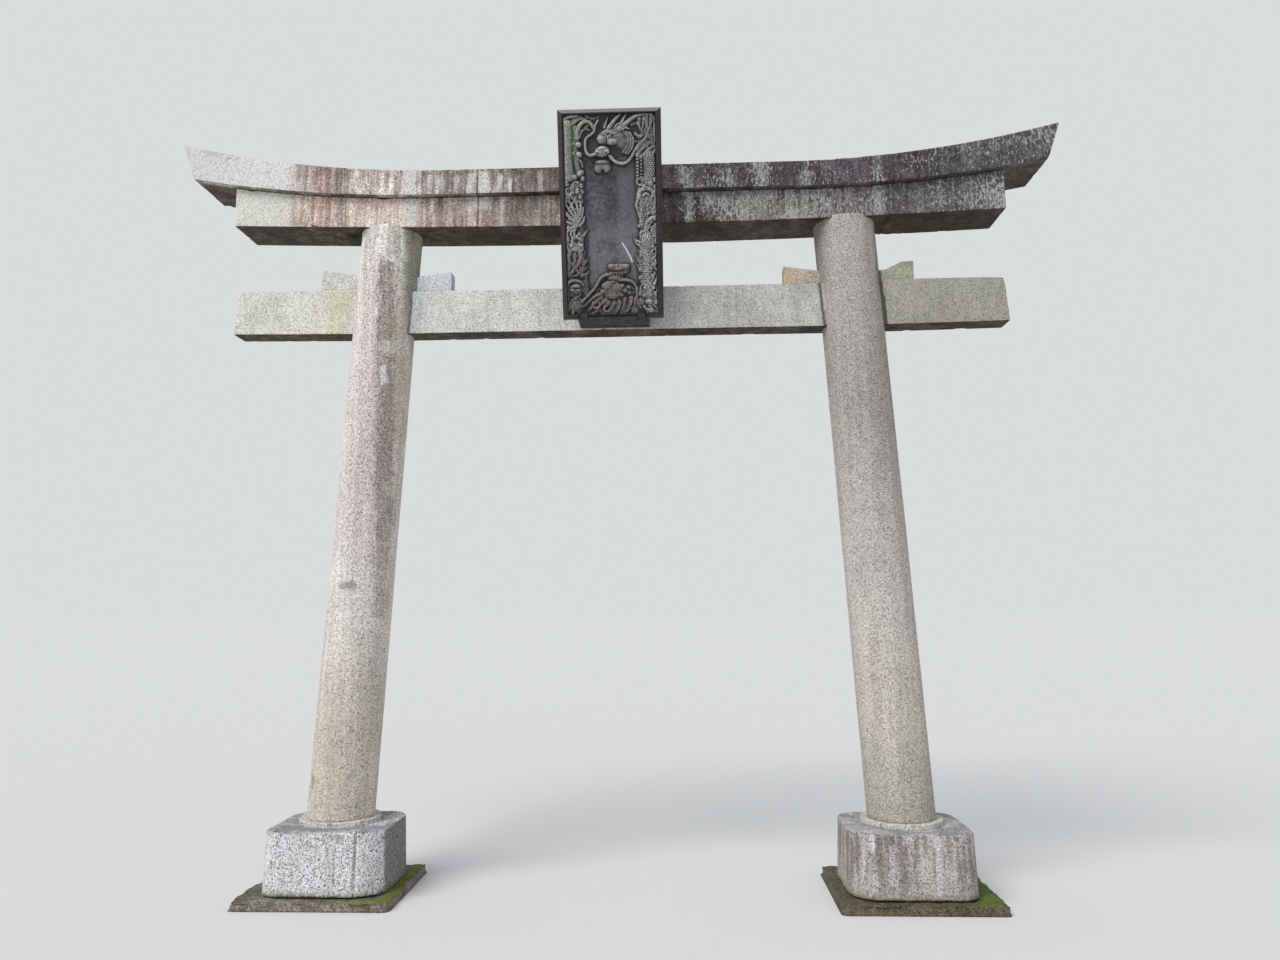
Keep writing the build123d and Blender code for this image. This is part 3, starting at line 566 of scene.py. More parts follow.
# Painted shadow in the gap between a leaning pillar and the beam or wedge that passes into it.
pillarGapShadow = markLayer(0.85, tone(52, 50, 46), inY=[(0.07, 0.04)], ragged=0.0)
# Painted shade on the faces that look down: a dark cover, mottled by lighter and darker patches.
undersideShade = [
    coverLayer(0.94, tone(74, 63, 50), face="Down"),
    patchLayer(15.0, 0.5, 46.0, 1.0, fray=0.6, soft=0.12, face="Down", low=(1.42, 1.38, 1.32),
        high=(0.58, 0.56, 0.54)),
    patchLayer(3.5, 0.5, 44.0, 0.55, face="Down", colour=tone(38, 33, 28)),
]
stoneLooks = {
    "left_pillar_granite": {
        **fineGrain, "paleGain": 1.28, "darkGain": 0.36, "darkShare": 0.16, "grainScale": 215.0, "axis": 2,
        "ground": tones((0.37, 214, 206, 196), (0.95, 207, 198, 187), (1.45, 223, 215, 208),
            (2.0, 224, 215, 210), (2.5, 222, 212, 207), (3.4, 238, 233, 228)),
        "layers": [
            coverLayer(0.30, tone(232, 222, 202), blend="MULTIPLY", inZ=[(1.3, 0.4)], ragged=0.4),
            streakLayer(30.0, 1.1, 0.5, 11.0, 0.55, fray=0.4, soft=0.2, low=(1.10, 1.11, 1.11),
                high=(0.76, 0.72, 0.72)),
            streakLayer(24.0, 0.9, 0.62, 3.0, 0.40, fray=0.5, soft=0.14, colour=tone(164, 140, 138),
                shown=0.5, inX=[(-1.40, -1.33), (-1.15, -1.18)], inY=[(0.06, -0.02)], inZ=[(1.3, 2.3)],
                ragged=0.03),
            markLayer(0.85, tone(122, 100, 103), (-1.215, 0.052, 0.9, 3.26, 2.80),
                (-1.205, 0.045, 0.7, 2.76, 1.75), (-1.235, 0.034, 0.3, 3.30, 1.95),
                (-1.200, 0.050, 0.5, 1.95, 1.35), shown=0.35, inY=[(0.06, -0.02)]),
            markLayer(0.6, tone(118, 110, 104), (-1.527, 0.014, 0.8, 0.60, 0.50), inY=[(0.06, -0.02)]),
            patchLayer(9.0, 0.6, 6.0, 0.40, colour=tone(176, 178, 128), inX=[(-1.24, -1.13)],
                inZ=[(1.7, 2.2)]),
            streakLayer(42.0, 2.2, 0.5, 5.0, 0.8, low=(1.15, 1.15, 1.15), high=(0.72, 0.72, 0.71), soft=0.1,
                inZ=[(3.05, 3.40)], ragged=0.1),
            markLayer(0.8, tone(228, 228, 226), (-1.217, 0.020, 1.0, 2.69, 2.57)),
            # Dark olive stain down the right edge under the lintel, partly painted shade.
            coverLayer(0.6, tone(120, 116, 92), inX=[(-1.150, -1.115)], inZ=[(2.75, 3.15)], ragged=0.03),
            coverLayer(0.6, tone(112, 104, 100), inX=[(-1.43, -1.40), (-1.31, -1.335)],
                inZ=[(1.505, 1.525), (1.56, 1.54)], ragged=0.03, raggedScale=30.0),
        ],
    },
    "right_pillar_granite": {
        **fineGrain, "paleGain": 1.32, "darkGain": 0.40, "darkShare": 0.19, "grainScale": 225.0, "axis": 2,
        "ground": tones((0.37, 176, 169, 159), (0.95, 196, 188, 177), (1.45, 196, 188, 181),
            (1.95, 185, 178, 172), (2.45, 168, 161, 154), (3.4, 174, 169, 162)),
        "layers": [
            streakLayer(26.0, 0.9, 0.45, 21.0, 0.5, fray=0.4, soft=0.2, low=(1.10, 1.10, 1.10),
                high=(0.78, 0.76, 0.75)),
            # Painted shade down both edges of the pillar's top, under the lintel.
            coverLayer(0.65, tone(104, 101, 95), inX=[(1.372, 1.402)], inZ=[(2.95, 3.20)], ragged=0.02),
            coverLayer(0.40, tone(112, 108, 102), inX=[(1.145, 1.110)], inZ=[(2.95, 3.20)], ragged=0.02),
        ],
    },
    "base_stone": {
        **fineGrain, "paleGain": 1.34, "darkGain": [(-0.5, 0.24), (0.5, 0.42)], "paleShare": 0.42,
        "darkShare": 0.17, "grainScale": 185.0, "drift": 0.05, "bump": 0.6,
        "ground": tones((-2.0, 212, 211, 212), (-0.5, 212, 211, 212), (0.5, 175, 168, 165),
            (2.0, 175, 168, 165)),
        "layers": [
            streakLayer(30.0, 3.0, 0.4, 4.0, 0.6, fray=0.6, soft=0.16, low=(1.06, 1.06, 1.06),
                high=(0.78, 0.75, 0.75)),
            streakLayer(30.0, 2.4, 0.5, 14.0, 0.9, fray=0.6, soft=0.12, low=(1.14, 1.14, 1.15),
                high=(0.56, 0.52, 0.51), inX=[(-1.0, 1.0)], inZ=[(0.02, 0.2)]),
            markLayer(0.8, tone(204, 202, 202), (1.030, 0.026, 0.6, 9.0, 0.05),
                (1.215, 0.022, 0.9, 9.0, 0.25), (1.305, 0.018, 0.6, 0.30, 0.10),
                (1.385, 0.026, 0.6, 9.0, 0.29), (1.520, 0.014, 0.7, 9.0, 0.05), shown=-0.2,
                inY=[(-0.10, -0.16)]),
            markLayer(0.85, tone(112, 106, 100), (-1.247, 0.009, 0.8, 0.37, 0.07),
                (-1.345, 0.008, 0.35, 0.36, 0.08), (-1.440, 0.008, 0.25, 0.36, 0.12),
                (-1.325, 0.024, 0.7, 0.335, 0.285), (-1.490, 0.022, 0.6, 0.30, 0.265),
                (-1.525, 0.020, 0.4, 0.20, 0.17), inY=[(-0.15, -0.19)]),
            patchLayer(7.0, 0.75, 33.0, 0.6, colour=tone(146, 147, 146), inX=[(-1.30, -1.40)],
                inZ=[(0.325, 0.345)], ragged=0.04),
            # Painted shade on the right-facing side of the left stone.
            coverLayer(0.85, tone(112, 110, 106), face="Right", inX=[(0.5, -0.5)], inZ=[(0.346, 0.335)],
                ragged=0.0),
            coverLayer(0.6, tone(178, 177, 174), face="Up", inZ=[(0.352, 0.344)], ragged=0.0),
            patchLayer(6.0, 0.50, 9.0, 0.7, colour=tone(118, 122, 125), face="Up", inZ=[(0.352, 0.344)],
                ragged=0.0),
            coverLayer(0.7, tone(200, 198, 187), inZ=[(0.346, 0.352)], ragged=0.0),
            patchLayer(14.0, 0.62, 29.0, 0.75, colour=tone(116, 122, 66), inZ=[(0.080, 0.052)],
                ragged=0.03),
        ],
    },
    "ground_stone": {
        **fineGrain, "paleGain": 1.3, "darkGain": 0.35, "darkShare": 0.24, "drift": 0.15, "bump": 1.0,
        "pitScale": 45.0,
        "ground": tones((-2.0, 144, 137, 128), (-0.5, 144, 137, 128), (0.5, 108, 100, 84),
            (2.0, 108, 100, 84)),
        "layers": [
            patchLayer(5.0, 0.55, 1.0, 0.7, colour=tone(92, 92, 68), face="Up"),
            patchLayer(22.0, 0.5, 2.0, 0.9, fray=0.8, soft=0.12, low=(0.70, 0.68, 0.64),
                high=(1.22, 1.20, 1.16)),
            streakLayer(75.0, 2.0, 0.45, 12.0, 0.9, fray=0.5, soft=0.14, slant=0.8, face="Front",
                low=(1.22, 1.20, 1.16), high=(0.62, 0.60, 0.56)),
            patchLayer(12.0, 0.66, 3.0, 0.95, colour=tone(116, 136, 42), face="Up",
                inX=[(-1.42, -1.15), (0.4, -0.4)], inY=[(-0.20, -0.235)], ragged=0.10),
            patchLayer(12.0, 0.7, 8.0, 0.9, colour=tone(108, 124, 44), face="Up",
                inX=[(-1.125, -1.105), (0.4, -0.4)], ragged=0.03),
            patchLayer(9.0, 0.7, 5.0, 0.9, colour=tone(96, 116, 38), face="Up", inX=[(1.66, 1.73)],
                ragged=0.12),
        ],
    },
    "tie_beam_granite": {
        **fineGrain, "darkGain": 0.42,
        "ground": tones((-2.0, 222, 220, 210), (-1.3, 220, 217, 207), (-1.1, 214, 213, 208),
            (-0.3, 212, 212, 206), (0.35, 196, 196, 190), (1.1, 190, 190, 184), (1.4, 172, 167, 156),
            (2.0, 167, 163, 152)),
        "layers": [
            streakLayer(16.0, 3.0, 0.62, 7.0, 0.55, fray=0.5, soft=0.25, colour=tone(212, 204, 156),
                inX=[(-1.63, -1.52), (-1.39, -1.50)], ragged=0.10),
            patchLayer(9.0, 0.7, 8.0, 0.5, fray=0.8, colour=tone(172, 176, 184),
                inX=[(-1.16, -1.10), (-0.96, -1.06)], ragged=0.10),
            patchLayer(9.0, 0.5, 18.0, 0.55, fray=0.8, soft=0.12, low=(1.06, 1.06, 1.06),
                high=(0.86, 0.85, 0.84)),
            patchLayer(4.0, 0.5, 17.0, 0.35, colour=tone(146, 152, 130), inX=[(0.3, 0.7)]),
            streakLayer(34.0, 4.0, 0.4, 2.0, 0.4, soft=0.14, low=(1.04, 1.04, 1.04),
                high=(0.76, 0.73, 0.70)),
            coverLayer(0.5, tone(118, 120, 100), face="Up"),
            # Painted shadow beside the pillars.
            {**pillarGapShadow, "slant": -0.06, "marks": [(-1.288, 0.010, 0.8, 9.0, 2.0)]},
            {**pillarGapShadow, "slant": 0.10, "marks": [(1.397, 0.011, 0.9, 9.0, 2.0),
                (1.7173, 0.014, 1.0, 9.0, 2.0)]},
            # Painted shade on the faces that look down.
            *undersideShade,
        ],
    },
    "wedge_granite": {
        **fineGrain, "darkGain": 0.42,
        "ground": tones((-1.5, 220, 219, 212), (-1.3, 218, 217, 211), (-1.15, 214, 216, 217),
            (-0.9, 209, 211, 212), (0.9, 192, 173, 150), (1.02, 186, 177, 164), (1.2, 180, 174, 158),
            (1.5, 166, 167, 149)),
        "layers": [
            patchLayer(12.0, 0.45, 3.0, 0.7, fray=0.8, soft=0.12, low=(1.05, 1.05, 1.05),
                high=(0.80, 0.78, 0.76)),
            patchLayer(14.0, 0.5, 13.0, 0.35, colour=tone(136, 122, 130), inX=[(1.2, 1.35)],
                inZ=[(3.19, 3.215)], ragged=0.04),
            coverLayer(0.4, tone(120, 118, 106), face="Up"),
            # Painted shadow beside the pillars.
            {**pillarGapShadow, "marks": [(-1.086, 0.008, 0.6, 9.0, 2.0), (1.410, 0.012, 0.9, 9.0, 2.0)]},
        ],
    },
    "strut_granite": {
        **fineGrain,
        "ground": tone(160, 154, 146),
        "layers": [
            streakLayer(22.0, 1.5, 0.5, 31.0, 0.8, soft=0.14, low=(1.1, 1.1, 1.1), high=(0.6, 0.56, 0.52)),
        ],
    },
    "lower_lintel_granite": {
        **fineGrain, "darkGain": [(-1.80, 0.58), (-1.70, 0.42)],
        "ground": tones((-2.07, 217, 215, 205), (-1.785, 215, 212, 202), (-1.72, 203, 186, 175),
            (-1.42, 210, 194, 184), (-1.16, 209, 192, 181), (-1.02, 172, 158, 150), (-0.30, 148, 136, 130),
            (0.35, 74, 69, 69), (0.75, 92, 88, 85), (1.15, 110, 106, 104), (1.50, 82, 78, 78),
            (2.06, 94, 91, 91)),
        "layers": [
            {**lintelSalt, "strength": [(-1.77, 0.0), (-1.6, 0.35), (-1.1, 0.3), (0.4, 0.75), (2.06, 0.7)]},
            {**lintelBands, "seed": 5.0, "share": 0.5, "strength": [(-1.78, 0.0), (-1.72, 0.7),
                (-1.40, 0.35), (-1.15, 0.3), (-1.0, 0.7), (2.06, 0.6)]},
            {**lintelStreaks, "seed": 6.0, "share": 0.5, "strength": [(-1.78, 0.0), (-1.72, 0.75),
                (-1.42, 0.45), (-1.15, 0.4), (-1.0, 0.75), (0.3, 0.8), (2.06, 0.55)]},
            {**lintelSpots, "seed": 7.0, "strength": [(-1.77, 0.0), (-1.6, 0.3), (0.0, 0.5), (0.4, 0.9),
                (2.06, 0.8)]},
            patchLayer(7.0, 0.75, 16.0, 0.7, fray=0.6, soft=0.12, low=(1.0, 1.0, 1.0),
                high=(0.84, 0.74, 0.72), inX=[(-1.66, -1.61), (-1.49, -1.52)], ragged=0.05),
            markLayer(0.85, tone(212, 213, 206), (-1.100, 0.045, 1.0), (-0.720, 0.060, 0.6, 9.0, 3.52),
                (-0.605, 0.012, 0.5), (-0.400, 0.014, 0.35)),
            {**lintelSpecks, "strength": 0.8, "colour": tone(178, 176, 172), "share": [(0.34, 0.14),
                (0.40, 0.42), (0.45, 0.16), (0.50, 0.30), (0.62, 0.30), (0.68, 0.46), (0.84, 0.46),
                (0.88, 0.32), (0.93, 0.52), (1.02, 0.45), (1.12, 0.39), (1.32, 0.35), (1.40, 0.52),
                (1.48, 0.27), (1.75, 0.29), (2.06, 0.41)]},
            markLayer(0.45, tone(172, 172, 166), (0.400, 0.024, 0.7), (0.500, 0.014, 0.8, 9.0, 3.51),
                (0.590, 0.016, 0.8, 9.0, 3.49), (0.750, 0.100, 0.55), (0.930, 0.026, 0.7),
                (1.010, 0.022, 0.7), (1.400, 0.040, 0.6), shown=-0.3),
            markLayer(0.7, tone(88, 78, 76), (-1.485, 0.024, 0.7), (-0.732, 0.006, 1.0),
                (-0.935, 0.016, 0.7), (0.985, 0.008, 0.5)),
            # Painted shade on the faces that look down.
            *undersideShade,
            # Near-black painted shade of a small hole under the stone, left of the left pillar.
            markLayer(0.95, tone(12, 10, 10), (-1.447, 0.045, 1.0), face="Down",
                inY=[(0.030, 0.038), (0.106, 0.098)], ragged=0.0),
        ],
    },
    "upper_lintel_granite": {
        **fineGrain, "darkGain": [(-1.80, 0.58), (-1.70, 0.42)],
        "ground": tones((-2.36, 215, 215, 211), (-1.785, 215, 214, 210), (-1.70, 205, 195, 190),
            (-1.44, 198, 185, 180), (-1.16, 195, 183, 178), (-1.02, 168, 158, 154), (-0.70, 156, 147, 144),
            (-0.35, 104, 94, 93), (0.35, 70, 65, 69), (1.30, 75, 70, 74), (2.36, 82, 80, 82)),
        "layers": [
            {**lintelSalt, "strength": [(-1.77, 0.0), (-1.6, 0.4), (-1.1, 0.4), (0.4, 0.8), (2.3, 0.75)]},
            {**lintelBands, "seed": 9.0, "share": 0.5,
                "strength": [(-1.78, 0.0), (-1.66, 0.6), (2.3, 0.7)]},
            {**lintelStreaks, "seed": 10.0, "share": 0.5, "strength": [(-1.78, 0.0), (-1.66, 0.65),
                (-1.0, 0.9), (0.3, 0.75), (2.3, 0.55)]},
            {**lintelSpots, "seed": 11.0, "strength": [(-1.77, 0.0), (-1.6, 0.35), (0.0, 0.5), (0.4, 0.9),
                (2.3, 0.9)]},
            streakLayer(40.0, 2.0, 0.62, 19.0, 0.80, fray=0.7, soft=0.12, low=(1.0, 1.0, 1.0),
                high=(0.60, 0.53, 0.53), inX=[(-1.74, -1.70), (0.2, -0.2)], inZ=[(3.69, 3.75)],
                ragged=0.05),
            patchLayer(7.0, 0.8, 16.0, 0.9, fray=0.6, soft=0.12, low=(1.0, 1.0, 1.0),
                high=(0.74, 0.64, 0.64), inX=[(-1.66, -1.61), (-1.49, -1.52)], ragged=0.05),
            markLayer(0.9, tone(214, 214, 208), (-1.100, 0.042, 1.0), (-0.990, 0.018, 0.9, 3.730, 3.665),
                (-0.930, 0.022, 0.6, 3.735, 3.63), (-0.845, 0.016, 0.6, 3.725, 3.62),
                (-0.765, 0.030, 0.8, 3.725, 0.0), (-0.695, 0.034, 1.0, 3.740, 0.0),
                (-0.610, 0.015, 0.8, 3.730, 3.63), (-0.555, 0.013, 1.0, 3.700, 0.0),
                (-0.390, 0.020, 0.5, 3.740, 0.0)),
            {**lintelSpecks, "strength": 0.8, "colour": tone(172, 169, 171), "share": [(0.30, 0.15),
                (0.38, 0.46), (0.46, 0.20), (0.58, 0.24), (0.61, 0.43), (0.65, 0.25), (0.72, 0.28),
                (0.78, 0.54), (0.86, 0.22), (0.96, 0.28), (1.02, 0.51), (1.08, 0.22), (1.34, 0.24),
                (1.40, 0.50), (1.47, 0.18), (1.58, 0.14), (1.75, 0.20), (1.85, 0.25), (2.10, 0.38),
                (2.36, 0.35)]},
            markLayer(0.30, tone(164, 162, 162), (0.380, 0.050, 0.8, 3.730, 3.63),
                (0.610, 0.014, 0.6, 3.730, 0.0), (0.780, 0.045, 0.6), (1.010, 0.045, 0.7, 3.700, 0.0),
                (1.400, 0.038, 0.7, 9.0, 3.65), shown=-0.3),
            markLayer(0.75, tone(78, 68, 70), (-1.485, 0.022, 0.7), (-0.732, 0.006, 1.0),
                (0.920, 0.060, 0.6), (-2.095, 0.014, 1.0, 3.860, 3.835), (-2.055, 0.014, 1.0, 3.860, 3.835),
                (-1.885, 0.012, 1.0, 3.825, 3.800), (-1.880, 0.014, 1.0, 3.775, 3.750)),
            patchLayer(7.0, 0.62, 12.0, 0.5, colour=tone(132, 126, 126),
                inX=[(-1.85, -2.02), (-2.28, -2.20)], inZ=[(3.84, 3.90)], ragged=0.08),
            coverLayer(0.7, tone(86, 82, 76), face="Up"),
            # Painted shade on the faces that look down, lighter on the strip under the front overhang.
            {**undersideShade[0], "inY": [(-0.075, -0.045)], "ragged": 0.02},
            coverLayer(0.5, tone(104, 98, 94), face="Down"),
            *undersideShade[1:],
        ],
    },
}
stoneMaterials = {slot: graniteMaterial(slot, look) for slot, look in stoneLooks.items()}
print("stone materials:", len(stoneMaterials))


def bronzeMaterial(name, look):
    # Old bronze: its colour goes with the height that a form stands proud, then painted highlight on ridges
    # and painted shade in hollows, with blotches, fine specks, a white scratch, and, where it faces up, a
    # pale colour that is partly dust and partly painted sky light.
    material, t, shader, coord = startMaterial(name)
    place = addSplit(t, coord)
    faces = placeGroup(t, facing, {})
    lift = addNode(t, "ShaderNodeAttribute", attribute_name="lift").outputs["Fac"]
    ridge = addNode(t, "ShaderNodeAttribute", attribute_name="ridge").outputs["Fac"]
    colour = addRamp(t, lift, 0.0, 1.0, look["lifts"]) if "lifts" in look else look["colour"]
    for spot in look["blotches"]:
        inputs = {"Vector": coord, "Share": spot["share"], "Size": spot["size"], "Seed": spot["seed"],
                  "Fray": 0.6, "Soft": 0.12}
        mask = addMath(t, "MULTIPLY", placeGroup(t, patchMask, inputs)["Mask"], spot["strength"])
        for label, value in (("lift", lift), ("inX", place[0]), ("inZ", place[2])):
            if label in spot:
                mask = addMath(t, "MULTIPLY", mask, addRange(t, value, *spot[label]))
        colour = addMix(t, mask, colour, spot["colour"])
    # Painted highlight where a point stands over its neighbours and painted shade where it sits below them.
    if "ridgeShading" in look:
        gain = addRange(t, ridge, 0.0, 1.0, *look["ridgeShading"], "LINEAR")
        colour = addVector(t, "MULTIPLY", colour, addJoin(t, gain, gain, gain))
    scratch = addNode(t, "ShaderNodeAttribute", attribute_name="scratch").outputs["Fac"]
    colour = addMix(t, scratch, colour, tone(226, 226, 222))
    # Paler where a face looks up: partly dust and partly painted sky light; on the frame a painted highlight.
    colour = addMix(t, addMath(t, "MULTIPLY", faces["Up"], look["skyStrength"]), colour, look["sky"])
    rough = addRange(t, addNoise(t, coord, 30.0, 3.0), 0.3, 0.7, look["roughLow"], look["roughHigh"])
    grain = addNoise(t, coord, 140.0, 4.0, 0.65)
    bump = addNode(t, "ShaderNodeBump", {"Strength": 0.4, "Distance": 0.002, "Height": grain}).outputs[0]
    connect(t, shader, {"Base Color": colour, "Roughness": rough, "Normal": bump})
    shader.inputs["Metallic"].default_value = look["metallic"]
    return material


def blotch(size, share, seed, strength, colour, **rest):
    return {"size": size, "share": share, "seed": seed, "strength": strength, "colour": colour, **rest}


# Blotches that keep to the bare field, and to what stands proud of it, by their share of the full lift.
onField, onForms = (0.10, 0.03), (0.3, 0.5)
# Sky and skyStrength in each look set the painted sky light on faces that look up: on the plaque partly dust
# too, on the frame's top a painted highlight.
metalLooks = {
    "plaque_bronze": {
        "ridgeShading": (0.30, 1.90),
        "lifts": tones((0.0, 70, 68, 73), (0.10, 62, 60, 64), (0.20, 46, 44, 45), (0.36, 84, 83, 82),
            (0.56, 124, 123, 120), (1.0, 150, 149, 146)),
        "blotches": [
            blotch(16.0, 0.62, 2.0, 0.75, tone(128, 129, 134), lift=onField, inX=(0.10, -0.06),
                inZ=(3.66, 3.40)),
            blotch(9.0, 0.50, 4.0, 0.75, tone(46, 44, 48), lift=onField),
            # Painted shade at the top of the field, under the jaw.
            blotch(3.0, 1.5, 7.0, 0.75, tone(34, 32, 36), lift=onField, inZ=(3.46, 3.62)),
            blotch(4.5, 0.62, 27.0, 0.55, tone(44, 42, 46), lift=onField, inX=(-0.07, 0.02)),
            blotch(38.0, 0.5, 9.0, 0.55, tone(112, 112, 117), lift=onField, inX=(0.16, -0.02)),
            blotch(50.0, 0.45, 11.0, 0.7, tone(42, 40, 43), lift=onField),
            blotch(9.0, 0.8, 6.0, 0.30, tone(120, 136, 114), lift=(0.25, 0.5), inX=(0.10, -0.12),
                inZ=(3.40, 3.70)),
            blotch(4.0, 0.8, 12.0, 0.6, tone(112, 110, 116), lift=onField, inX=(0.01, 0.06)),
            blotch(11.0, 0.72, 14.0, 0.55, tone(122, 122, 127), lift=onField, inZ=(3.42, 3.30)),
            blotch(12.0, 1.0, 10.0, 0.75, tone(80, 71, 67), lift=onForms, inX=(0.18, 0.12),
                inZ=(3.27, 3.14)),
            blotch(12.0, 0.5, 17.0, 0.45, tone(82, 78, 76), lift=onForms, inX=(-0.17, -0.12),
                inZ=(3.50, 3.56)),
            blotch(60.0, 0.45, 8.0, 0.4, tone(46, 44, 45)),
        ],
        "sky": tone(168, 170, 168), "skyStrength": 0.4, "roughLow": 0.55, "roughHigh": 0.8, "metallic": 0.1,
    },
    "frame_bronze": {
        "colour": tone(54, 46, 47),
        "blotches": [
            blotch(12.0, 0.5, 4.0, 0.6, tone(38, 33, 34)),
            blotch(60.0, 0.4, 5.0, 0.3, tone(78, 70, 67)),
        ],
        "sky": tone(196, 198, 200), "skyStrength": 0.95, "roughLow": 0.45, "roughHigh": 0.65,
        "metallic": 0.2,
    },
    "black_iron": {
        "colour": tone(22, 20, 20),
        "blotches": [
            blotch(14.0, 0.5, 6.0, 0.5, tone(38, 31, 28)),
        ],
        "sky": tone(44, 41, 39), "skyStrength": 0.5, "roughLow": 0.55, "roughHigh": 0.8, "metallic": 0.2,
    },
}
metalMaterials = {slot: bronzeMaterial(slot, look) for slot, look in metalLooks.items()}
allMaterials = {**stoneMaterials, **metalMaterials}
for row in frame["record"]["subparts"]:
    node = frame["nodes"][row["node"]]
    node.data.materials.clear()
    node.data.materials.append(allMaterials[row["material_slot"]])
print("materials on the frame's nodes")

# Stones that lie along the gate.
beamWear = {"swellSize": 0.35, "swell": 0.0016, "toolSize": 0.022, "tool": 0.0010,
            "chipSize": 0.06, "chipFrom": 0.60, "chip": 0.010}
wedgeWear = {**beamWear, "swell": 0.0008, "tool": 0.0006, "chip": 0.002}
beamGrid = {"along": 0.009, "around": 0.010}


def beamStone(name, slot, ends, depth, low, high, endArris, seed, arris=0.005, ridge=0.0,
              slopes=(0.0, 0.0), wear=beamWear):
    # A rounded section carried along X between the curves low(x) and high(x). Each end turns in by a quarter
    # round and closes in rings that shrink to the middle; a slope leans that end outward with height.
    xStart, xEnd = ends
    middleX = (xStart + xEnd) / 2
    tall = float(high(np.array(middleX)) - low(np.array(middleX)))
    half = depth / 2
    corners = [(-half, 0), (half, 0), (half, tall), (-half, tall)]
    if ridge:
        corners.insert(3, (0, tall + ridge))
    ring, nearArc = roundedOutline(corners, [arris] * len(corners), beamGrid["around"])
    quarter = np.linspace(0, pi / 2, 5)[1:]
    closing = np.linspace(1, 0, 9)[1:-1]
    count = max(6, int((xEnd - xStart) / beamGrid["along"]))
    stations, insets, shrinks, still = [], [], [], []
    for x, way, radius in ((xStart, -1, endArris[0]), (xEnd, 1, endArris[1])):
        capX = np.concatenate([x + way * radius * (np.sin(quarter) - 1), np.full(len(closing), x)])
        inset = np.concatenate([radius * (1 - np.cos(quarter)), np.full(len(closing), radius)])
        shrink = np.concatenate([np.ones(len(quarter)), closing])
        calm = np.concatenate([np.ones(len(quarter)), np.full(len(closing), 1.0 if radius > 0.003 else 0.0)])
        if way < 0:
            capX, inset, shrink, calm = capX[::-1], inset[::-1], shrink[::-1], calm[::-1]
            first, last = xStart + endArris[0], xEnd - endArris[1]
            body = np.concatenate([[first], np.linspace(first + 0.0008, last - 0.0008, count - 2), [last]])
            stations += [capX, body]
            insets += [inset, np.zeros(count)]
            shrinks += [shrink, np.ones(count)]
            still += [calm, np.ones(count)]
        else:
            stations += [capX]
            insets += [inset]
            shrinks += [shrink]
            still += [calm]
    stations, insets, shrinks, still = map(np.concatenate, (stations, insets, shrinks, still))
    centre = np.array([0.0, tall / 2])
    reach = np.array([half, tall / 2])
    section = (ring - centre)[None] * (1 - insets[:, None, None] / reach) * shrinks[:, None, None]
    share = (section[..., 1] + centre[1]) / tall
    leanStart = slopes[0] * smoothStep(0.45, 0, stations - xStart)
    leanEnd = slopes[1] * smoothStep(0.45, 0, xEnd - stations)
    x = stations[:, None] + (leanStart + leanEnd)[:, None] * (share - 0.5) * tall
    rings = np.stack([x, section[..., 0] + gate["middleY"], low(x) + share * (high(x) - low(x))], -1)
    toEnd = np.ones(len(stations))
    for x, radius in zip(ends, endArris):
        if radius > 0.001:
            toEnd = np.minimum(toEnd, np.abs(stations - x))
    endArc = np.exp(-((toEnd / 0.008) ** 2)) * 0.7 * (still > 0)
    worn = np.maximum(nearArc[None], endArc[:, None]) * (shrinks[:, None] > 0.999)
    rings = weatherStone(rings, worn, still[:, None], seed, wear)
    piece = ringSurface(name, rings, {"arris": worn})
    return finishPiece(piece, name, stoneMaterials[slot])


def level(height):
    return lambda x: np.full_like(np.asarray(x, float), height)


joint, hairline = gate["joint"], 0.0003
lowerStones = {"lower_lintel_left": (-gate["lowerReach"], -joint), "lower_lintel_centre": (-joint, joint),
               "lower_lintel_right": (joint, gate["lowerReach"])}
for name, ends in lowerStones.items():
    endArris = tuple(hairline if abs(x) == joint else 0.006 for x in ends)
    beamStone(name, "lower_lintel_granite", ends, gate["lowerDepth"], lowerUnderside, courseCurve,
              endArris, 11)

tipRise = float(upperCurve(gate["upperReachHigh"]) - courseCurve(gate["upperReachLow"]))
tipSlope = (gate["upperReachHigh"] - gate["upperReachLow"]) / tipRise
tipMiddle = (gate["upperReachHigh"] + gate["upperReachLow"]) / 2
upperStones = {"upper_lintel_left": (-tipMiddle, -joint), "upper_lintel_centre": (-joint, joint),
               "upper_lintel_right": (joint, tipMiddle)}
for name, ends in upperStones.items():
    endArris = tuple(hairline if abs(x) == joint else 0.005 for x in ends)
    slopes = (-tipSlope if ends[0] == -tipMiddle else 0.0, tipSlope if ends[1] == tipMiddle else 0.0)
    beamStone(name, "upper_lintel_granite", ends, gate["upperDepth"], courseCurve, upperCurve,
              endArris, 21, ridge=gate["ridge"], slopes=slopes)

tieMiddleReach = (gate["tieReachLow"] + gate["tieReachHigh"]) / 2
tieEndTall = tieEndTop - gate["tieBottom"] - gate["tieEndRise"] / 2
tieSlope = (gate["tieReachHigh"] - gate["tieReachLow"]) / tieEndTall


def tieEndUnderside(x):
    # Rises evenly from the joint inside the pillar to the end.
    run = (np.abs(x) - tieJoint) / (gate["tieReachLow"] - tieJoint)
    return gate["tieBottom"] + gate["tieEndRise"] * run


def tieEndCurve(x):
    # Level, then a quarter round down at the end.
    over = np.clip(np.abs(x) - (tieMiddleReach - gate["tieEndRound"]), 0, gate["tieEndRound"] * 0.97)
    return tieEndTop - (gate["tieEndRound"] - np.sqrt(gate["tieEndRound"] ** 2 - over**2))


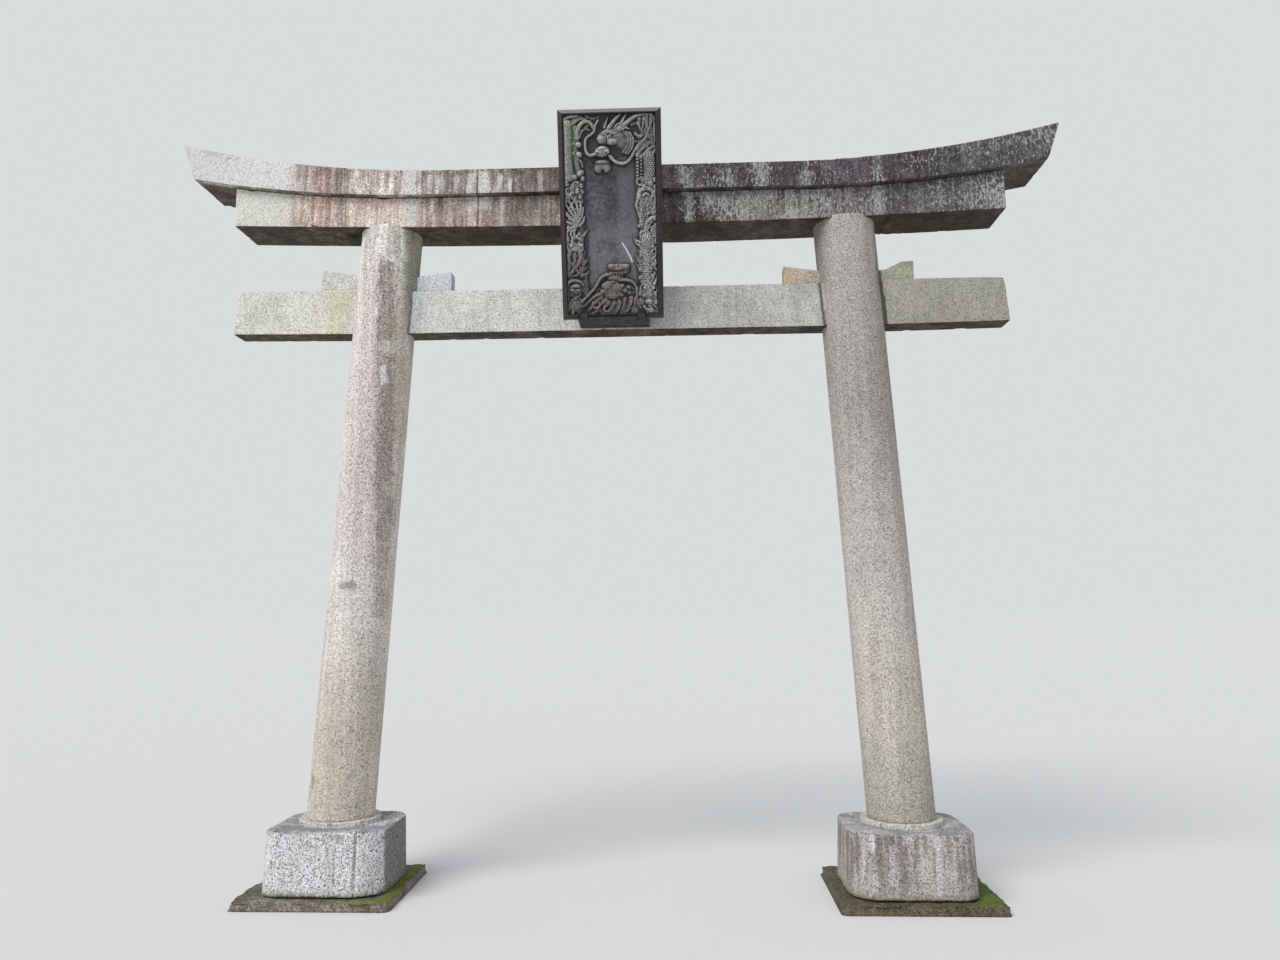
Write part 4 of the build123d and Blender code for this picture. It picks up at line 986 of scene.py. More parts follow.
beamStone("tie_beam_centre", "tie_beam_granite", (-tieJoint, tieJoint), gate["tieDepth"],
          level(gate["tieBottom"]), level(tieTop), (hairline, hairline), 31)
for side, name in ((-1, "left_tie_beam_end"), (1, "right_tie_beam_end")):
    outerEnd = side * tieMiddleReach
    ends = tuple(sorted((side * tieJoint, outerEnd)))
    endArris = tuple(0.007 if x == outerEnd else hairline for x in ends)
    slopes = tuple(side * tieSlope if x == outerEnd else 0.0 for x in ends)
    beamStone(name, "tie_beam_granite", ends, gate["tieDepth"], tieEndUnderside, tieEndCurve,
              endArris, 31, slopes=slopes)

# Wedges over the tie beam: side, way out (1) or in (-1), then the top edge as distances from the joint
# inside the pillar and heights over the beam.
wedges = {
    "left_outer_wedge": (-1, 1, ((0.0, 0.084), (0.215, 0.099), (0.353, 0.124))),
    "left_inner_wedge": (-1, -1, ((0.0, 0.070), (0.363, 0.113))),
    "right_inner_wedge": (1, -1, ((0.0, 0.056), (0.353, 0.107))),
    "right_outer_wedge": (1, 1, ((0.0, 0.056), (0.185, 0.062), (0.275, 0.105), (0.338, 0.107))),
}


def wedgeTop(start, outward, seat, edge):
    runs, heights = zip(*edge)
    return lambda x: seat + np.interp((x - start) * outward, runs, heights)


for number, (name, (side, way, edge)) in enumerate(wedges.items()):
    start, outward = side * tieJoint, side * way
    seat = tieEndTop if way > 0 else tieTop
    ends = tuple(sorted((start, start + outward * edge[-1][0])))
    top = wedgeTop(start, outward, seat, edge)
    beamStone(name, "wedge_granite", ends, gate["wedgeDepth"], level(seat), top, (0.003, 0.003),
              41 + number, arris=0.003, wear=wedgeWear)

strutEnds = (-gate["strutWidth"] / 2, gate["strutWidth"] / 2)
beamStone("centre_strut", "strut_granite", strutEnds, gate["strutDepth"], level(tieTop), level(lowerBottom),
          (0.012, 0.012), 51, arris=0.012)
print("beams, lintels and wedges laid")

# Pillars: level rings whose middle slides inward and whose radius shrinks with height.
pillarLook = {"around": 130, "rings": 330, "seed": 64, "swellSize": 0.45, "swell": 0.003,
              "toolSize": 0.022, "tool": 0.0018, "chipSize": 0.05, "chipFrom": 0.9, "chip": 0.0}
for side, name in ((-1, "left_pillar"), (1, "right_pillar")):
    share = np.linspace(0, 1, pillarLook["rings"])[:, None]
    angle = np.linspace(0, 2 * pi, pillarLook["around"], endpoint=False)[None, :]
    centre = side * (gate["footHalf"] - pillarRun * share)
    radius = gate["footRadius"] + (gate["topRadius"] - gate["footRadius"]) * share
    x = centre + radius * np.cos(angle)
    y = gate["middleY"] + radius * np.sin(angle)
    z = pillarFoot + share * pillarRise + 0 * angle
    rings = weatherStone(np.stack([x, y, z], -1), 0.0, 1.0, pillarLook["seed"] + side, pillarLook)
    rings[..., 2] = z
    piece = ringSurface(name, rings, {"arris": np.zeros(1)})
    finishPiece(piece, name, stoneMaterials[name + "_granite"])
print("pillars raised")

# Base stones: the plan drawn in with height, across the top, round the collar and in to the middle. Points
# of the plan are measured from the middle of the pillar's foot. Only the left stone has the groove.
baseLook = {
    "innerRadius": 0.150, "outerRadius": 0.100, "backRadius": 0.115, "topRound": 0.010, "collarRound": 0.006,
    "grooveX": -1.247, "grooveWidth": 0.008, "grooveDepth": 0.012, "grooveFrom": -0.24,
    "collarClear": 0.222, "seed": 70,
    "swellSize": 0.25, "swell": 0.003, "toolSize": 0.02, "tool": 0.0020,
    "chipSize": 0.05, "chipFrom": 0.55, "chip": 0.010,
}
for side, name in ((-1, "left_base_stone"), (1, "right_base_stone")):
    halfX, halfY, tall = gate["stoneWidth"] / 2, gate["stoneDepth"] / 2, gate["stoneHeight"]
    forward = np.array([0.0, -gate["stoneForward"]])
    corners = [(-halfX, -halfY), (halfX, -halfY), (halfX, halfY), (-halfX, halfY)]
    frontRadii = [baseLook["outerRadius"], baseLook["innerRadius"]][:: -side]
    plan, _ = roundedOutline(corners, frontRadii + [baseLook["backRadius"]] * 2, 0.008)
    turn = np.arctan2(plan[:, 1] + forward[1], plan[:, 0])
    circle = np.stack([np.cos(turn), np.sin(turn)], -1)
    draft, topRound = tan(radians(gate["stoneDraft"])), baseLook["topRound"]
    climb = np.linspace(0, tall - topRound, 30)
    quarter = np.linspace(0, pi / 2, 6)[1:]
    drawIn = np.concatenate([climb * draft, tall * draft + topRound * (1 - np.cos(quarter))])
    sides = plan[None] * (1 - drawIn[:, None, None] / np.array([halfX, halfY])) + forward
    across = np.linspace(0, 1, 16)[1:, None, None]
    top = sides[-1][None] * (1 - across) + circle[None] * gate["collarRadius"] * across
    collarQuarter = np.linspace(0, pi / 2, 5)
    collarRound = baseLook["collarRound"]
    flatTop = np.linspace(gate["collarRadius"] - collarRound, 0.02, 10)[1:]
    collarIn = gate["collarRadius"] - collarRound * (1 - np.cos(collarQuarter))
    collarRadius = np.concatenate([collarIn, flatTop])
    collarHeight = gate["collarHeight"] - collarRound + collarRound * np.sin(collarQuarter)
    under = sides[0][None] * np.linspace(0.05, 1, 6)[:-1, None, None]
    flat = np.concatenate([under, sides, top, circle[None] * collarRadius[:, None, None]])
    height = np.concatenate([
        np.zeros(len(under)), climb, tall - topRound + topRound * np.sin(quarter), np.full(len(top), tall),
        tall + collarHeight, np.full(len(flatTop), tall + gate["collarHeight"])])
    z = np.broadcast_to(height[:, None] + gate["slabHeight"], flat.shape[:2])
    rings = np.concatenate([flat + np.array([side * gate["footHalf"], gate["middleY"]]), z[..., None]], -1)
    fromCollar = np.linalg.norm(flat, axis=-1) > baseLook["collarClear"]
    worn = np.exp(-(((z - stoneTop) / 0.012) ** 2)) * fromCollar
    foot = 0.9 * np.exp(-(((z - gate["slabHeight"]) / 0.014) ** 2)) * (height[:, None] > 0)
    worn = np.maximum(worn, foot)
    still = np.ones(flat.shape[:2])
    still[-len(collarRadius):] = 0.0
    shaped = weatherStone(rings, worn, still, baseLook["seed"] + side, baseLook)
    front = (flat[..., 1] < baseLook["grooveFrom"]) & (height[:, None] > 0.001)
    groove = np.exp(-(((shaped[..., 0] - baseLook["grooveX"]) / baseLook["grooveWidth"]) ** 2)) * front
    shaped[..., 1] += groove * baseLook["grooveDepth"]
    shaped[:len(under) + 1, :, 2] = gate["slabHeight"]
    piece = ringSurface(name, shaped, {"arris": worn})
    finishPiece(piece, name, stoneMaterials["base_stone"])

# Ground slabs: rough, low, worn round.
slabLook = {"round": 0.012, "corner": 0.03, "seed": 80, "swellSize": 0.14, "swell": 0.010,
            "toolSize": 0.03, "tool": 0.006, "chipSize": 0.08, "chipFrom": 0.45, "chip": 0.030}
for side, name in ((-1, "left_ground_slab"), (1, "right_ground_slab")):
    halfX, halfY, tall = gate["slabWidth"] / 2, gate["slabDepth"] / 2, gate["slabHeight"]
    corners = [(-halfX, -halfY), (halfX, -halfY), (halfX, halfY), (-halfX, halfY)]
    plan, _ = roundedOutline(corners, [slabLook["corner"]] * 4, 0.010)
    quarter = np.linspace(0, pi / 2, 6)
    edge = slabLook["round"]
    drawIn = np.concatenate([np.zeros(4), edge * (1 - np.cos(quarter))])
    sides = plan[None] * (1 - drawIn[:, None, None] / halfX)
    inward = sides[-1][None] * np.linspace(1, 0.03, 34)[1:, None, None]
    under = plan[None] * np.linspace(0.05, 1, 5)[:-1, None, None]
    flat = np.concatenate([under, sides, inward])
    height = np.concatenate([
        np.zeros(len(under)), np.linspace(0, tall - edge, 5)[:-1],
        tall - edge + edge * np.sin(quarter), np.full(len(inward), tall)])
    z = np.broadcast_to(height[:, None], flat.shape[:2])
    middle = np.array([side * (gate["footHalf"] + gate["slabOutset"]), gate["middleY"]])
    rings = np.concatenate([flat + middle, z[..., None]], -1)
    rim = np.maximum(np.abs(flat[..., 0]) / halfX, np.abs(flat[..., 1]) / halfY)
    worn = smoothStep(0.86, 1.0, rim) * smoothStep(-0.01, 0.03, z)
    shaped = weatherStone(rings, worn, 1.0, slabLook["seed"] + side, slabLook)
    shaped[:len(under) + 1, :, 2] = 0.0
    piece = ringSurface(name, shaped, {"arris": worn})
    finishPiece(piece, name, stoneMaterials["ground_stone"])
print("base stones and slabs set")

# Plaque relief: one height over the panel for each point of a grid, raised form by form. Places are in
# millimetres across and up the plaque from the middle of its bottom edge.
plaque = {"tilt": 16.5, "forward": 0.233, "foot": 2.8873, "width": 0.521, "height": 1.040,
          "bar": 0.026, "recess": 0.025, "step": 2.3, "border": 5.0, "ground": 5.0, "skin": 0.6,
          "back": -2.0, "ceiling": 40.0, "fullLift": 34}
spanX = 1000 * (plaque["width"] / 2 - plaque["bar"])
lowUp, highUp = 1000 * plaque["bar"], 1000 * (plaque["height"] - plaque["bar"])
columns = np.linspace(-spanX, spanX, int(2 * spanX / plaque["step"]))
rows = np.linspace(lowUp, highUp, int((highUp - lowUp) / plaque["step"]))
across, up = np.meshgrid(columns, rows)
lift = np.full(across.shape, plaque["skin"])
# A form's height where it isn't, and the height under which it joins nothing.
absent, joinFrom = -50.0, -5


def smoothLine(points, count=40):
    # Catmull-Rom curve: each stretch is a cubic through its two points, headed by their neighbours.
    points = np.asarray(points, float)
    ends = np.concatenate([[2 * points[0] - points[1]], points, [2 * points[-1] - points[-2]]])
    spot = np.linspace(0, len(points) - 1, count)
    k = np.minimum(spot.astype(int), len(points) - 2)
    t = (spot - k)[:, None]
    a, b, c, d = ends[k], ends[k + 1], ends[k + 2], ends[k + 3]
    return 0.5 * (2 * b + (c - a) * t + (2 * a - 5 * b + 4 * c - d) * t**2 + (3 * b - a - 3 * c + d) * t**3)


def window(points, margin):
    # The slice of the grid that a form can reach.
    low, high = np.min(points, axis=0) - margin, np.max(points, axis=0) + margin
    x0, x1 = np.searchsorted(columns, [low[0], high[0]])
    y0, y1 = np.searchsorted(rows, [low[1], high[1]])
    return slice(y0, y1), slice(x0, x1)


def raiseForm(part, form, soft=2.0):
    # The higher of the two surfaces, rounded into each other where they are within soft of one another.
    now = lift[part]
    joined = np.clip(soft - np.abs(now - form), 0, None) ** 2 / (4 * soft)
    lift[part] = np.maximum(now, form) + joined * (form > joinFrom)


def alongLine(part, line):
    # For each grid point: distance to the line, share of the way along it, and signed side distance.
    x, y = across[part][..., None], up[part][..., None]
    a, b = line[:-1], line[1:]
    way = b - a
    length = np.hypot(way[:, 0], way[:, 1])
    t = np.clip(((x - a[:, 0]) * way[:, 0] + (y - a[:, 1]) * way[:, 1]) / length**2, 0, 1)
    dx, dy = x - (a[:, 0] + t * way[:, 0]), y - (a[:, 1] + t * way[:, 1])
    gap = np.hypot(dx, dy)
    nearest = gap.argmin(axis=-1)[..., None]
    started = np.concatenate([[0], np.cumsum(length)])
    run = np.take_along_axis(started[:-1] + t * length, nearest, -1)[..., 0]
    side = np.take_along_axis((way[:, 0] * dy - way[:, 1] * dx) / length, nearest, -1)[..., 0]
    return gap.min(axis=-1), run, started[-1], side


def rope(radii, height, *points, scales=0.0):
    # A round strand along a smooth line: height plus the half circle of its radius, which runs from the first
    # radius to the second. Scales are domes set in bonded rows along the strand.
    line = smoothLine(points)
    part = window(line, max(radii) + 1)
    if lift[part].size == 0:
        return
    gap, run, total, side = alongLine(part, line)
    radius = radii[0] + (radii[1] - radii[0]) * run / total
    form = np.where(gap < radius, height + np.sqrt(np.clip(radius**2 - gap**2, 0, None)), absent)
    if scales:
        row = np.floor(run / (0.7 * scales))
        u = (side / scales + row % 2 / 2) % 1 - 0.5
        v = 0.7 * (run / (0.7 * scales) - row - 0.3)
        bump = 0.70 * scales * np.sqrt(np.clip(1 - 3.6 * u * u - 2.8 * v * v, 0, None))
        form = np.where(gap < radius, form + bump, form)
    raiseForm(part, form)


def dome(x, y, wide, tall, height, turn=0.0, soft=3.0):
    # An ellipse in plan and in height, turned anticlockwise.
    part = window([(x, y)], max(wide, tall) + 1)
    c, s = cos(radians(turn)), sin(radians(turn))
    dx, dy = across[part] - x, up[part] - y
    out = ((dx * c + dy * s) / wide) ** 2 + ((dy * c - dx * s) / tall) ** 2
    raiseForm(part, np.where(out < 1, height * np.sqrt(np.clip(1 - out, 0, None)), absent), soft)


def groove(width, depth, *points):
    line = smoothLine(points)
    part = window(line, 3 * width)
    lift[part] -= depth * np.exp(-((alongLine(part, line)[0] / width) ** 2))


def curl(x, y, radius, thick, height, start=0.0, turns=0.8):
    # A strand bent round in a ring that closes in slightly.
    angle = radians(start) + np.linspace(0, 2 * pi * turns, 7)
    reach = radius * np.linspace(1, 0.75, 7)
    rope((thick, thick * 0.7), height, *zip(x + reach * np.cos(angle), y + reach * np.sin(angle)))


def knobs(x0, x1, y0, y1, pitch, height, seed):
    # Small domes at the jittered points of a grid, with height falling away to the area's edges.
    part = window([(x0, y0), (x1, y1)], 0)
    x, y = across[part] / pitch, up[part] / pitch
    nearest = np.full(x.shape, 9.0)
    rng = np.random.default_rng(seed)
    jitter = rng.random((64, 64, 2)) * 0.7
    for i in (-1, 0, 1):
        for j in (-1, 0, 1):
            cx, cy = np.floor(x) + i, np.floor(y) + j
            shift = jitter[cx.astype(int) % 64, cy.astype(int) % 64]
            nearest = np.minimum(nearest, np.hypot(x - cx - shift[..., 0], y - cy - shift[..., 1]))
    inside = smoothStep(0, 12, across[part] - x0) * smoothStep(0, 12, x1 - across[part])
    inside *= smoothStep(0, 12, up[part] - y0) * smoothStep(0, 12, y1 - up[part])
    lift[part] += inside * height * np.sqrt(np.clip(1 - (nearest / 0.62) ** 2, 0, None))


# The bare field, bounded by a border whose inner edge wanders.
fieldLeft = [(-122, 800), (-129, 725), (-124, 610), (-137, 528), (-123, 446), (-118, 363),
             (-130, 282), (-116, 190)]
fieldRight = [(126, 800), (119, 726), (128, 603), (134, 520), (135, 438), (132, 356), (125, 274), (132, 190)]
leftLine, rightLine = smoothLine(fieldLeft)[::-1], smoothLine(fieldRight)[::-1]
leftEdge = np.interp(up, leftLine[:, 1], leftLine[:, 0])
rightEdge = np.interp(up, rightLine[:, 1], rightLine[:, 0])
fieldTop = 812 - 60 * np.exp(-(((across + 38) / 50) ** 2))
fieldFoot = 150 + 100 * np.exp(-(((across - 20) / 70) ** 2))
fromField = np.maximum(leftEdge - across, across - rightEdge)
fromField = np.maximum(fromField, np.maximum(fieldFoot - up, up - fieldTop))
lift += plaque["border"] * smoothStep(-2, 5, fromField)
grid = np.stack([across, up, 0 * across], -1)
carved = smoothStep(4, 14, fromField) * (1 - 0.7 * smoothStep(700, 760, up) * smoothStep(-190, -150, across))
lift += carved * plaque["ground"] * smoothStep(0.35, 0.65, layeredNoise(grid, 26.0, 301, 2))


def leaves(x0, x1, y0, y1, count, seed, lean=90.0, base=5.0):
    # Pointed, bent leaves scattered over an area, thick at the root, lying about one way.
    rng = np.random.default_rng(seed)
    for x, y, a, b, size, height in rng.random((count, 6)):
        way = radians(lean + 110 * (a - 0.5))
        along = (28 + 26 * size) * np.array([cos(way), sin(way)])
        bend = 16 * (b - 0.5) * np.array([-sin(way), cos(way)])
        root = np.array([x0 + (x1 - x0) * x, y0 + (y1 - y0) * y])
        rope((6.5 + 3 * size, 2), base + 7 * height, root, root + 0.55 * along + bend, root + along)


def strands(radii, height, lines):
    for line in lines:
        rope(radii, height, *line)


def domes(places):
    for place in places:
        dome(*place)


def carveTopBeast():
    # Head looking down into the field: forehead, cheeks, snout and jaw run together, then come the creases,
    # the eyes, the horns, the whiskers and the mane.
    for mass in ((4, 911, 76, 41, 25, 25), (-40, 893, 25, 25, 29, 0), (17, 879, 37, 18, 29, 8),
                 (50, 938, 36, 21, 29, 30), (-12, 924, 32, 17, 29, 28), (46, 902, 38, 26, 26, 20),
                 (62, 880, 44, 40, 19, -20), (-38, 832, 42, 28, 30, 5), (-38, 846, 24, 14, 34, 5),
                 (-62, 828, 15, 12, 33, 0), (-14, 830, 15, 12, 33, 0), (-38, 760, 48, 36, 17, 0),
                 (-60, 748, 22, 20, 18, 0), (-15, 750, 22, 20, 18, 0), (-40, 783, 36, 9, 19, 0)):
        dome(*mass, 9.0)
    groove(4.5, 12, (-80, 806), (-40, 799), (4, 806))
    groove(3.0, 8, (-16, 898), (-13, 884), (-14, 868))
    groove(2.6, 6, (-2, 898), (20, 896), (48, 900))
    groove(2.6, 4, (-72, 772), (-40, 767), (-6, 772))
    groove(6.0, 12, (-38, 722), (-38, 738))
    for x, y, wide in ((-5, 914, 4.6), (15, 906, 4.6), (-60, 823, 3.2), (-16, 825, 3.2)):
        groove(wide, 12, (x - 2, y), (x + 2, y))
    rope((5, 4), 24, (-34, 916), (-14, 930), (4, 926), (22, 918), (40, 918))
    for k in range(4):
        rope((5, 3), 21, (28 + 12 * k, 944 - 3 * k), (40 + 14 * k, 960 - 6 * k), (60 + 14 * k, 968 - 10 * k))
    rope((13, 4), 14, (0, 944), (22, 974), (40, 995), (60, 1013))
    rope((12, 3), 14, (48, 940), (62, 966), (74, 990), (88, 1013))
    rope((12, 6), 13, (62, 946), (95, 973), (130, 997), (160, 1005), (198, 1008))
    rope((7, 3), 12, (-24, 948), (-16, 970), (-5, 1000))
    rope((8, 5), 14, (-66, 824), (-95, 815), (-115, 826), (-123, 865), (-116, 898), (-92, 916), (-75, 932),
         (-70, 958), (-54, 984))
    rope((9, 4), 14, (2, 808), (26, 783), (60, 772), (90, 780), (112, 806), (128, 836), (150, 862),
         (176, 888), (196, 925), (210, 960), (224, 996))
    # the mane in bent strokes round the right of the head
    for k in range(6):
        rope((5.5, 3), 11 + k % 2 * 3, (64 + 8 * k, 930 - 2 * k), (86 + 7 * k, 900 - 3 * k),
             (84 + 6 * k, 862 - 3 * k), (62 + 6 * k, 826 - 2 * k))
    curl(150, 922, 20, 8, 9, 200, 0.6)
    strands((9, 5), 6, (
        ((-112, 1004), (-80, 992), (-50, 1002)), ((-120, 950), (-100, 968), (-88, 990)),
        ((112, 958), (146, 972), (176, 968)), ((118, 880), (140, 876), (160, 884))))


def carveTopLeft():
    # Clouds and a tail over the scaly body that comes down the left side, with its claws.
    rope((11, 8), 9, (-228, 900), (-233, 945), (-227, 985), (-203, 1003), (-160, 1007))
    rope((12, 8), 12, (-163, 898), (-162, 930), (-148, 960), (-120, 980), (-92, 968), (-78, 945))
    rope((9, 5), 11, (-198, 956), (-172, 978), (-140, 993), (-112, 988))
    rope((8, 5), 9, (-152, 905), (-140, 932), (-118, 944), (-98, 936))
    rope((8, 5), 10, (-214, 946), (-196, 974), (-170, 990), (-140, 1004))
    for k in range(4):
        rope((8, 4), 10, (-234, 876 + 24 * k), (-214, 902 + 22 * k), (-192, 916 + 20 * k))
    rope((34, 32), -10, (-216, 962), (-214, 900), (-216, 830), (-215, 760), (-210, 716), scales=12.0)
    rope((20, 19), -7, (-172, 950), (-172, 900), (-174, 830), (-168, 775), (-160, 740), scales=10.0)
    domes(((-158, 868, 19, 17, 28), (-182, 872, 12, 9, 22), (-156, 820, 19, 17, 28), (-182, 824, 12, 9, 22),
           (-218, 708, 26, 20, 27, 10), (-186, 712, 23, 18, 25), (-152, 728, 26, 16, 26, 35),
           (-226, 690, 15, 14, 22), (-140, 704, 14, 18, 20)))
    rope((7, 4), 12, (-180, 830), (-166, 802), (-146, 786), (-138, 758))


def carveLeftSide():
    # Leaves, plumes and scrolls down the left border.
    leaves(-236, -140, 215, 680, 90, 11)
    for x, y, size in ((-222, 680, 18), (-195, 656, 17), (-168, 642, 18), (-156, 612, 15), (-204, 622, 17),
                       (-227, 600, 15), (-180, 600, 14), (-148, 668, 15), (-228, 640, 13)):
        dome(x, y, size, size * 0.8, 12 + size * 0.8, 3 * size)
        groove(2.5, 6, (x - 0.7 * size, y - 4), (x + 0.7 * size, y + 4))
    curl(-176, 672, 17, 6, 12, 40)
    curl(-216, 642, 18, 6, 12, 220)
    plumes = (
        ((-195, 500), (-218, 525), (-236, 545)), ((-192, 520), (-212, 552), (-232, 580)),
        ((-180, 530), (-195, 565), (-212, 594)), ((-168, 535), (-172, 570), (-182, 602)),
        ((-157, 530), (-152, 565), (-158, 592)), ((-205, 482), (-222, 490), (-236, 497)),
        ((-204, 462), (-222, 462), (-236, 460)), ((-190, 440), (-183, 418), (-160, 432)),
        ((-202, 446), (-206, 428), (-194, 405)), ((-222, 446), (-229, 425), (-220, 400)),
        ((-160, 500), (-146, 528), (-140, 560)), ((-160, 476), (-144, 490), (-136, 512)))
    strands((8, 5), 14, [((-177, 474), *plume) for plume in plumes])
    rope((7, 5), 12, (-212, 545), (-186, 552), (-160, 553))
    curl(-181, 394, 22, 9, 11, 20, 0.95)
    domes(((-182, 356, 36, 20, 25), (-205, 372, 18, 14, 24), (-158, 374, 18, 14, 24)))
    rope((15, 10), 8, (-165, 346), (-160, 312), (-172, 282), (-195, 256), (-214, 232))
    rope((12, 9), 8, (-215, 345), (-223, 310), (-218, 275), (-233, 238))
    rope((11, 8), 8, (-190, 332), (-189, 302), (-202, 272))
    rope((9, 7), 8, (-148, 305), (-147, 262), (-164, 236), (-194, 222))
    rope((7, 5), 9, (-152, 232), (-136, 214), (-140, 196))
    rope((9, 6), 13, (-236, 178), (-215, 194), (-190, 198), (-165, 190), (-148, 172))
    domes(((-190, 154, 38, 30, 26), (-186, 168, 27, 11, 32), (-206, 150, 14, 12, 31), (-174, 148, 13, 11, 31),
           (-196, 72, 42, 36, 20)))
    groove(4, 9, (-230, 114), (-190, 106), (-158, 112))
    groove(3, 7, (-220, 160), (-190, 156), (-160, 160))


def carveBottomBeast():
    # Head lying in the bottom edge with its snout raised, whiskers, mane and the waves around it.
    leaves(-236, -170, 32, 110, 14, 31, 40.0)
    leaves(90, 236, 30, 100, 22, 37, -30.0)
    for mass in ((34, 248, 58, 32, 26), (-4, 264, 22, 16, 31), (70, 262, 24, 16, 31), (34, 252, 30, 12, 28),
                 (14, 208, 46, 18, 27), (2, 150, 68, 54, 25), (-26, 168, 34, 26, 29), (22, 158, 36, 28, 29),
                 (0, 122, 44, 26, 28), (140, 84, 28, 26, 20), (188, 86, 24, 20, 26)):
        dome(*mass, 0.0, 8.0)
    for k in range(6):
        dome(-6 + 15 * k, 232, 6, 8, 31)
        dome(2 + 10 * k, 222, 5, 6, 28)
    domes(((50, 166, 15, 12, 27), (64, 142, 16, 13, 27), (44, 120, 15, 12, 26), (84, 158, 14, 11, 25),
           (86, 132, 13, 11, 24), (-52, 138, 17, 14, 26)))
    curls = ((-24, 168), (2, 178), (-30, 142), (0, 148), (28, 160), (-8, 120), (24, 130))
    for number, (x, y) in enumerate(curls):
        curl(x, y, 11, 4.5, 22, 50 * number, 0.8)
    groove(4, 8, (-14, 244), (20, 240), (60, 244))
    groove(4, 5, (34, 276), (34, 262))
    groove(6, 12, (-48, 202), (-42, 188))
    groove(6, 12, (40, 182), (56, 186), (72, 176))
    rope((9, 6), 16, (-2, 226), (-35, 222), (-62, 205), (-80, 175), (-100, 148), (-130, 118), (-160, 90))
    rope((9, 6), 16, (38, 198), (75, 196), (105, 184), (122, 160), (126, 130), (124, 102))
    strands((15, 8), 4, (
        ((-58, 128), (-88, 118), (-122, 92), (-158, 62)), ((-60, 108), (-92, 88), (-112, 60), (-140, 34)),
        ((-36, 96), (-70, 70), (-84, 44), (-108, 29)), ((-22, 84), (-44, 60), (-50, 29)),
        ((8, 82), (-10, 52), (-20, 29)), ((34, 88), (24, 58), (8, 29)), ((62, 98), (56, 66), (38, 31)),
        ((96, 104), (86, 72), (66, 34)), ((118, 98), (112, 66), (96, 32))))
    strands((6, 3), 16, (
        ((-66, 126), (-96, 112), (-130, 84)), ((-70, 100), (-98, 76), (-120, 48)),
        ((-46, 90), (-72, 62), (-88, 36)), ((40, 86), (34, 58), (18, 34)), ((100, 98), (92, 70), (76, 38))))
    curl(-84, 74, 20, 8, 14, 150, 0.7)
    curl(-30, 52, 17, 7, 13, 100, 0.7)
    strands((8, 4), 10, (
        ((196, 112), (218, 101), (236, 84)), ((202, 96), (222, 80), (236, 66)),
        ((202, 76), (220, 58), (236, 42)), ((190, 62), (205, 45), (222, 29)),
        ((162, 62), (170, 45), (182, 29)), ((140, 60), (145, 45), (150, 29))))


def carveRightSide():
    # Flames, a scaled flank, a swirl of cloud and fronds down the right border, and the body's lower coils.
    leaves(140, 236, 800, 985, 30, 17, 60.0)
    leaves(138, 236, 430, 690, 56, 19)
    strands((9, 5), 10, (
        ((192, 1004), (188, 965), (196, 930), (190, 895), (172, 868)), ((178, 990), (172, 960), (165, 930)),
        ((212, 1004), (206, 960), (213, 925), (202, 902)), ((232, 965), (226, 920), (232, 885), (220, 855)),
        ((152, 985), (150, 960), (158, 930))))
    curl(199, 885, 19, 8, 11, 90, 0.9)
    strands((12, 7), 10, (
        ((140, 812), (158, 836), (182, 858), (206, 868)), ((158, 800), (180, 818), (205, 842), (230, 852)),
        ((184, 790), (205, 800), (225, 825), (236, 838)), ((138, 838), (156, 862), (176, 876))))
    for k in range(8):
        dome(140, 806 - 16 * k, 11, 9, 23)
        dome(158, 798 - 16 * k, 9, 8, 20)
    rope((40, 38), -20, (196, 804), (200, 760), (198, 715), (192, 686), scales=14.0)
    curl(152, 680, 19, 8, 12, 0, 0.95)
    domes(((200, 672, 22, 18, 27), (226, 690, 15, 17, 23), (170, 660, 16, 13, 24), (228, 654, 13, 16, 22)))
    rope((14, 9), 11, (144, 604), (150, 632), (176, 650), (204, 642), (217, 620), (206, 600))
    rope((8, 5), 13, (164, 612), (180, 624), (196, 614))
    strands((10, 6), 9, (
        ((150, 598), (160, 570), (155, 540), (165, 500), (170, 455)),
        ((138, 590), (131, 565), (140, 530), (148, 490)), ((185, 600), (178, 565), (188, 535), (180, 500)),
        ((205, 595), (200, 560), (212, 530), (200, 500)),
        ((232, 590), (222, 565), (235, 545), (216, 530), (192, 535)), ((222, 560), (214, 530), (226, 508)),
        ((168, 590), (172, 560), (166, 530)), ((150, 520), (152, 490), (160, 462))))
    rope((14, 10), 9, (236, 505), (205, 498), (182, 478), (176, 450), (190, 428))
    for k in range(6):
        rope((6, 4), 13, (205 + k, 452 - 13 * k), (222 + k, 466 - 13 * k), (236, 478 - 13 * k))
    curl(166, 420, 19, 8, 12, 60, 0.9)
    curl(190, 388, 18, 7, 12, 200, 0.9)
    rope((44, 38), -22, (180, 405), (176, 340), (180, 280), (178, 220), (184, 160), (188, 112), scales=12.0)
    leaves(138, 232, 110, 400, 80, 23, 100.0, 9.0)


carveTopBeast()
carveTopLeft()
carveLeftSide()
carveBottomBeast()
carveRightSide()
for area in ((-238, -140, 200, 690), (140, 238, 400, 700)):
    knobs(*area, 12.0, 3.0, 3)
knobs(132, 238, 100, 420, 11.0, 4.5, 5)
knobs(-238, 238, 30, 200, 14.0, 2.5, 7)
lift += (layeredNoise(grid, 16.0, 91, 3) - 0.5) * 3.5 * smoothStep(2, 10, lift)
lift = np.clip(lift, 0.3, plaque["ceiling"])
nearBar = np.minimum(np.minimum(spanX - np.abs(across), highUp - up), up - lowUp)
lift = np.minimum(lift, 1 + 1.2 * nearBar + plaque["border"] + plaque["ground"])
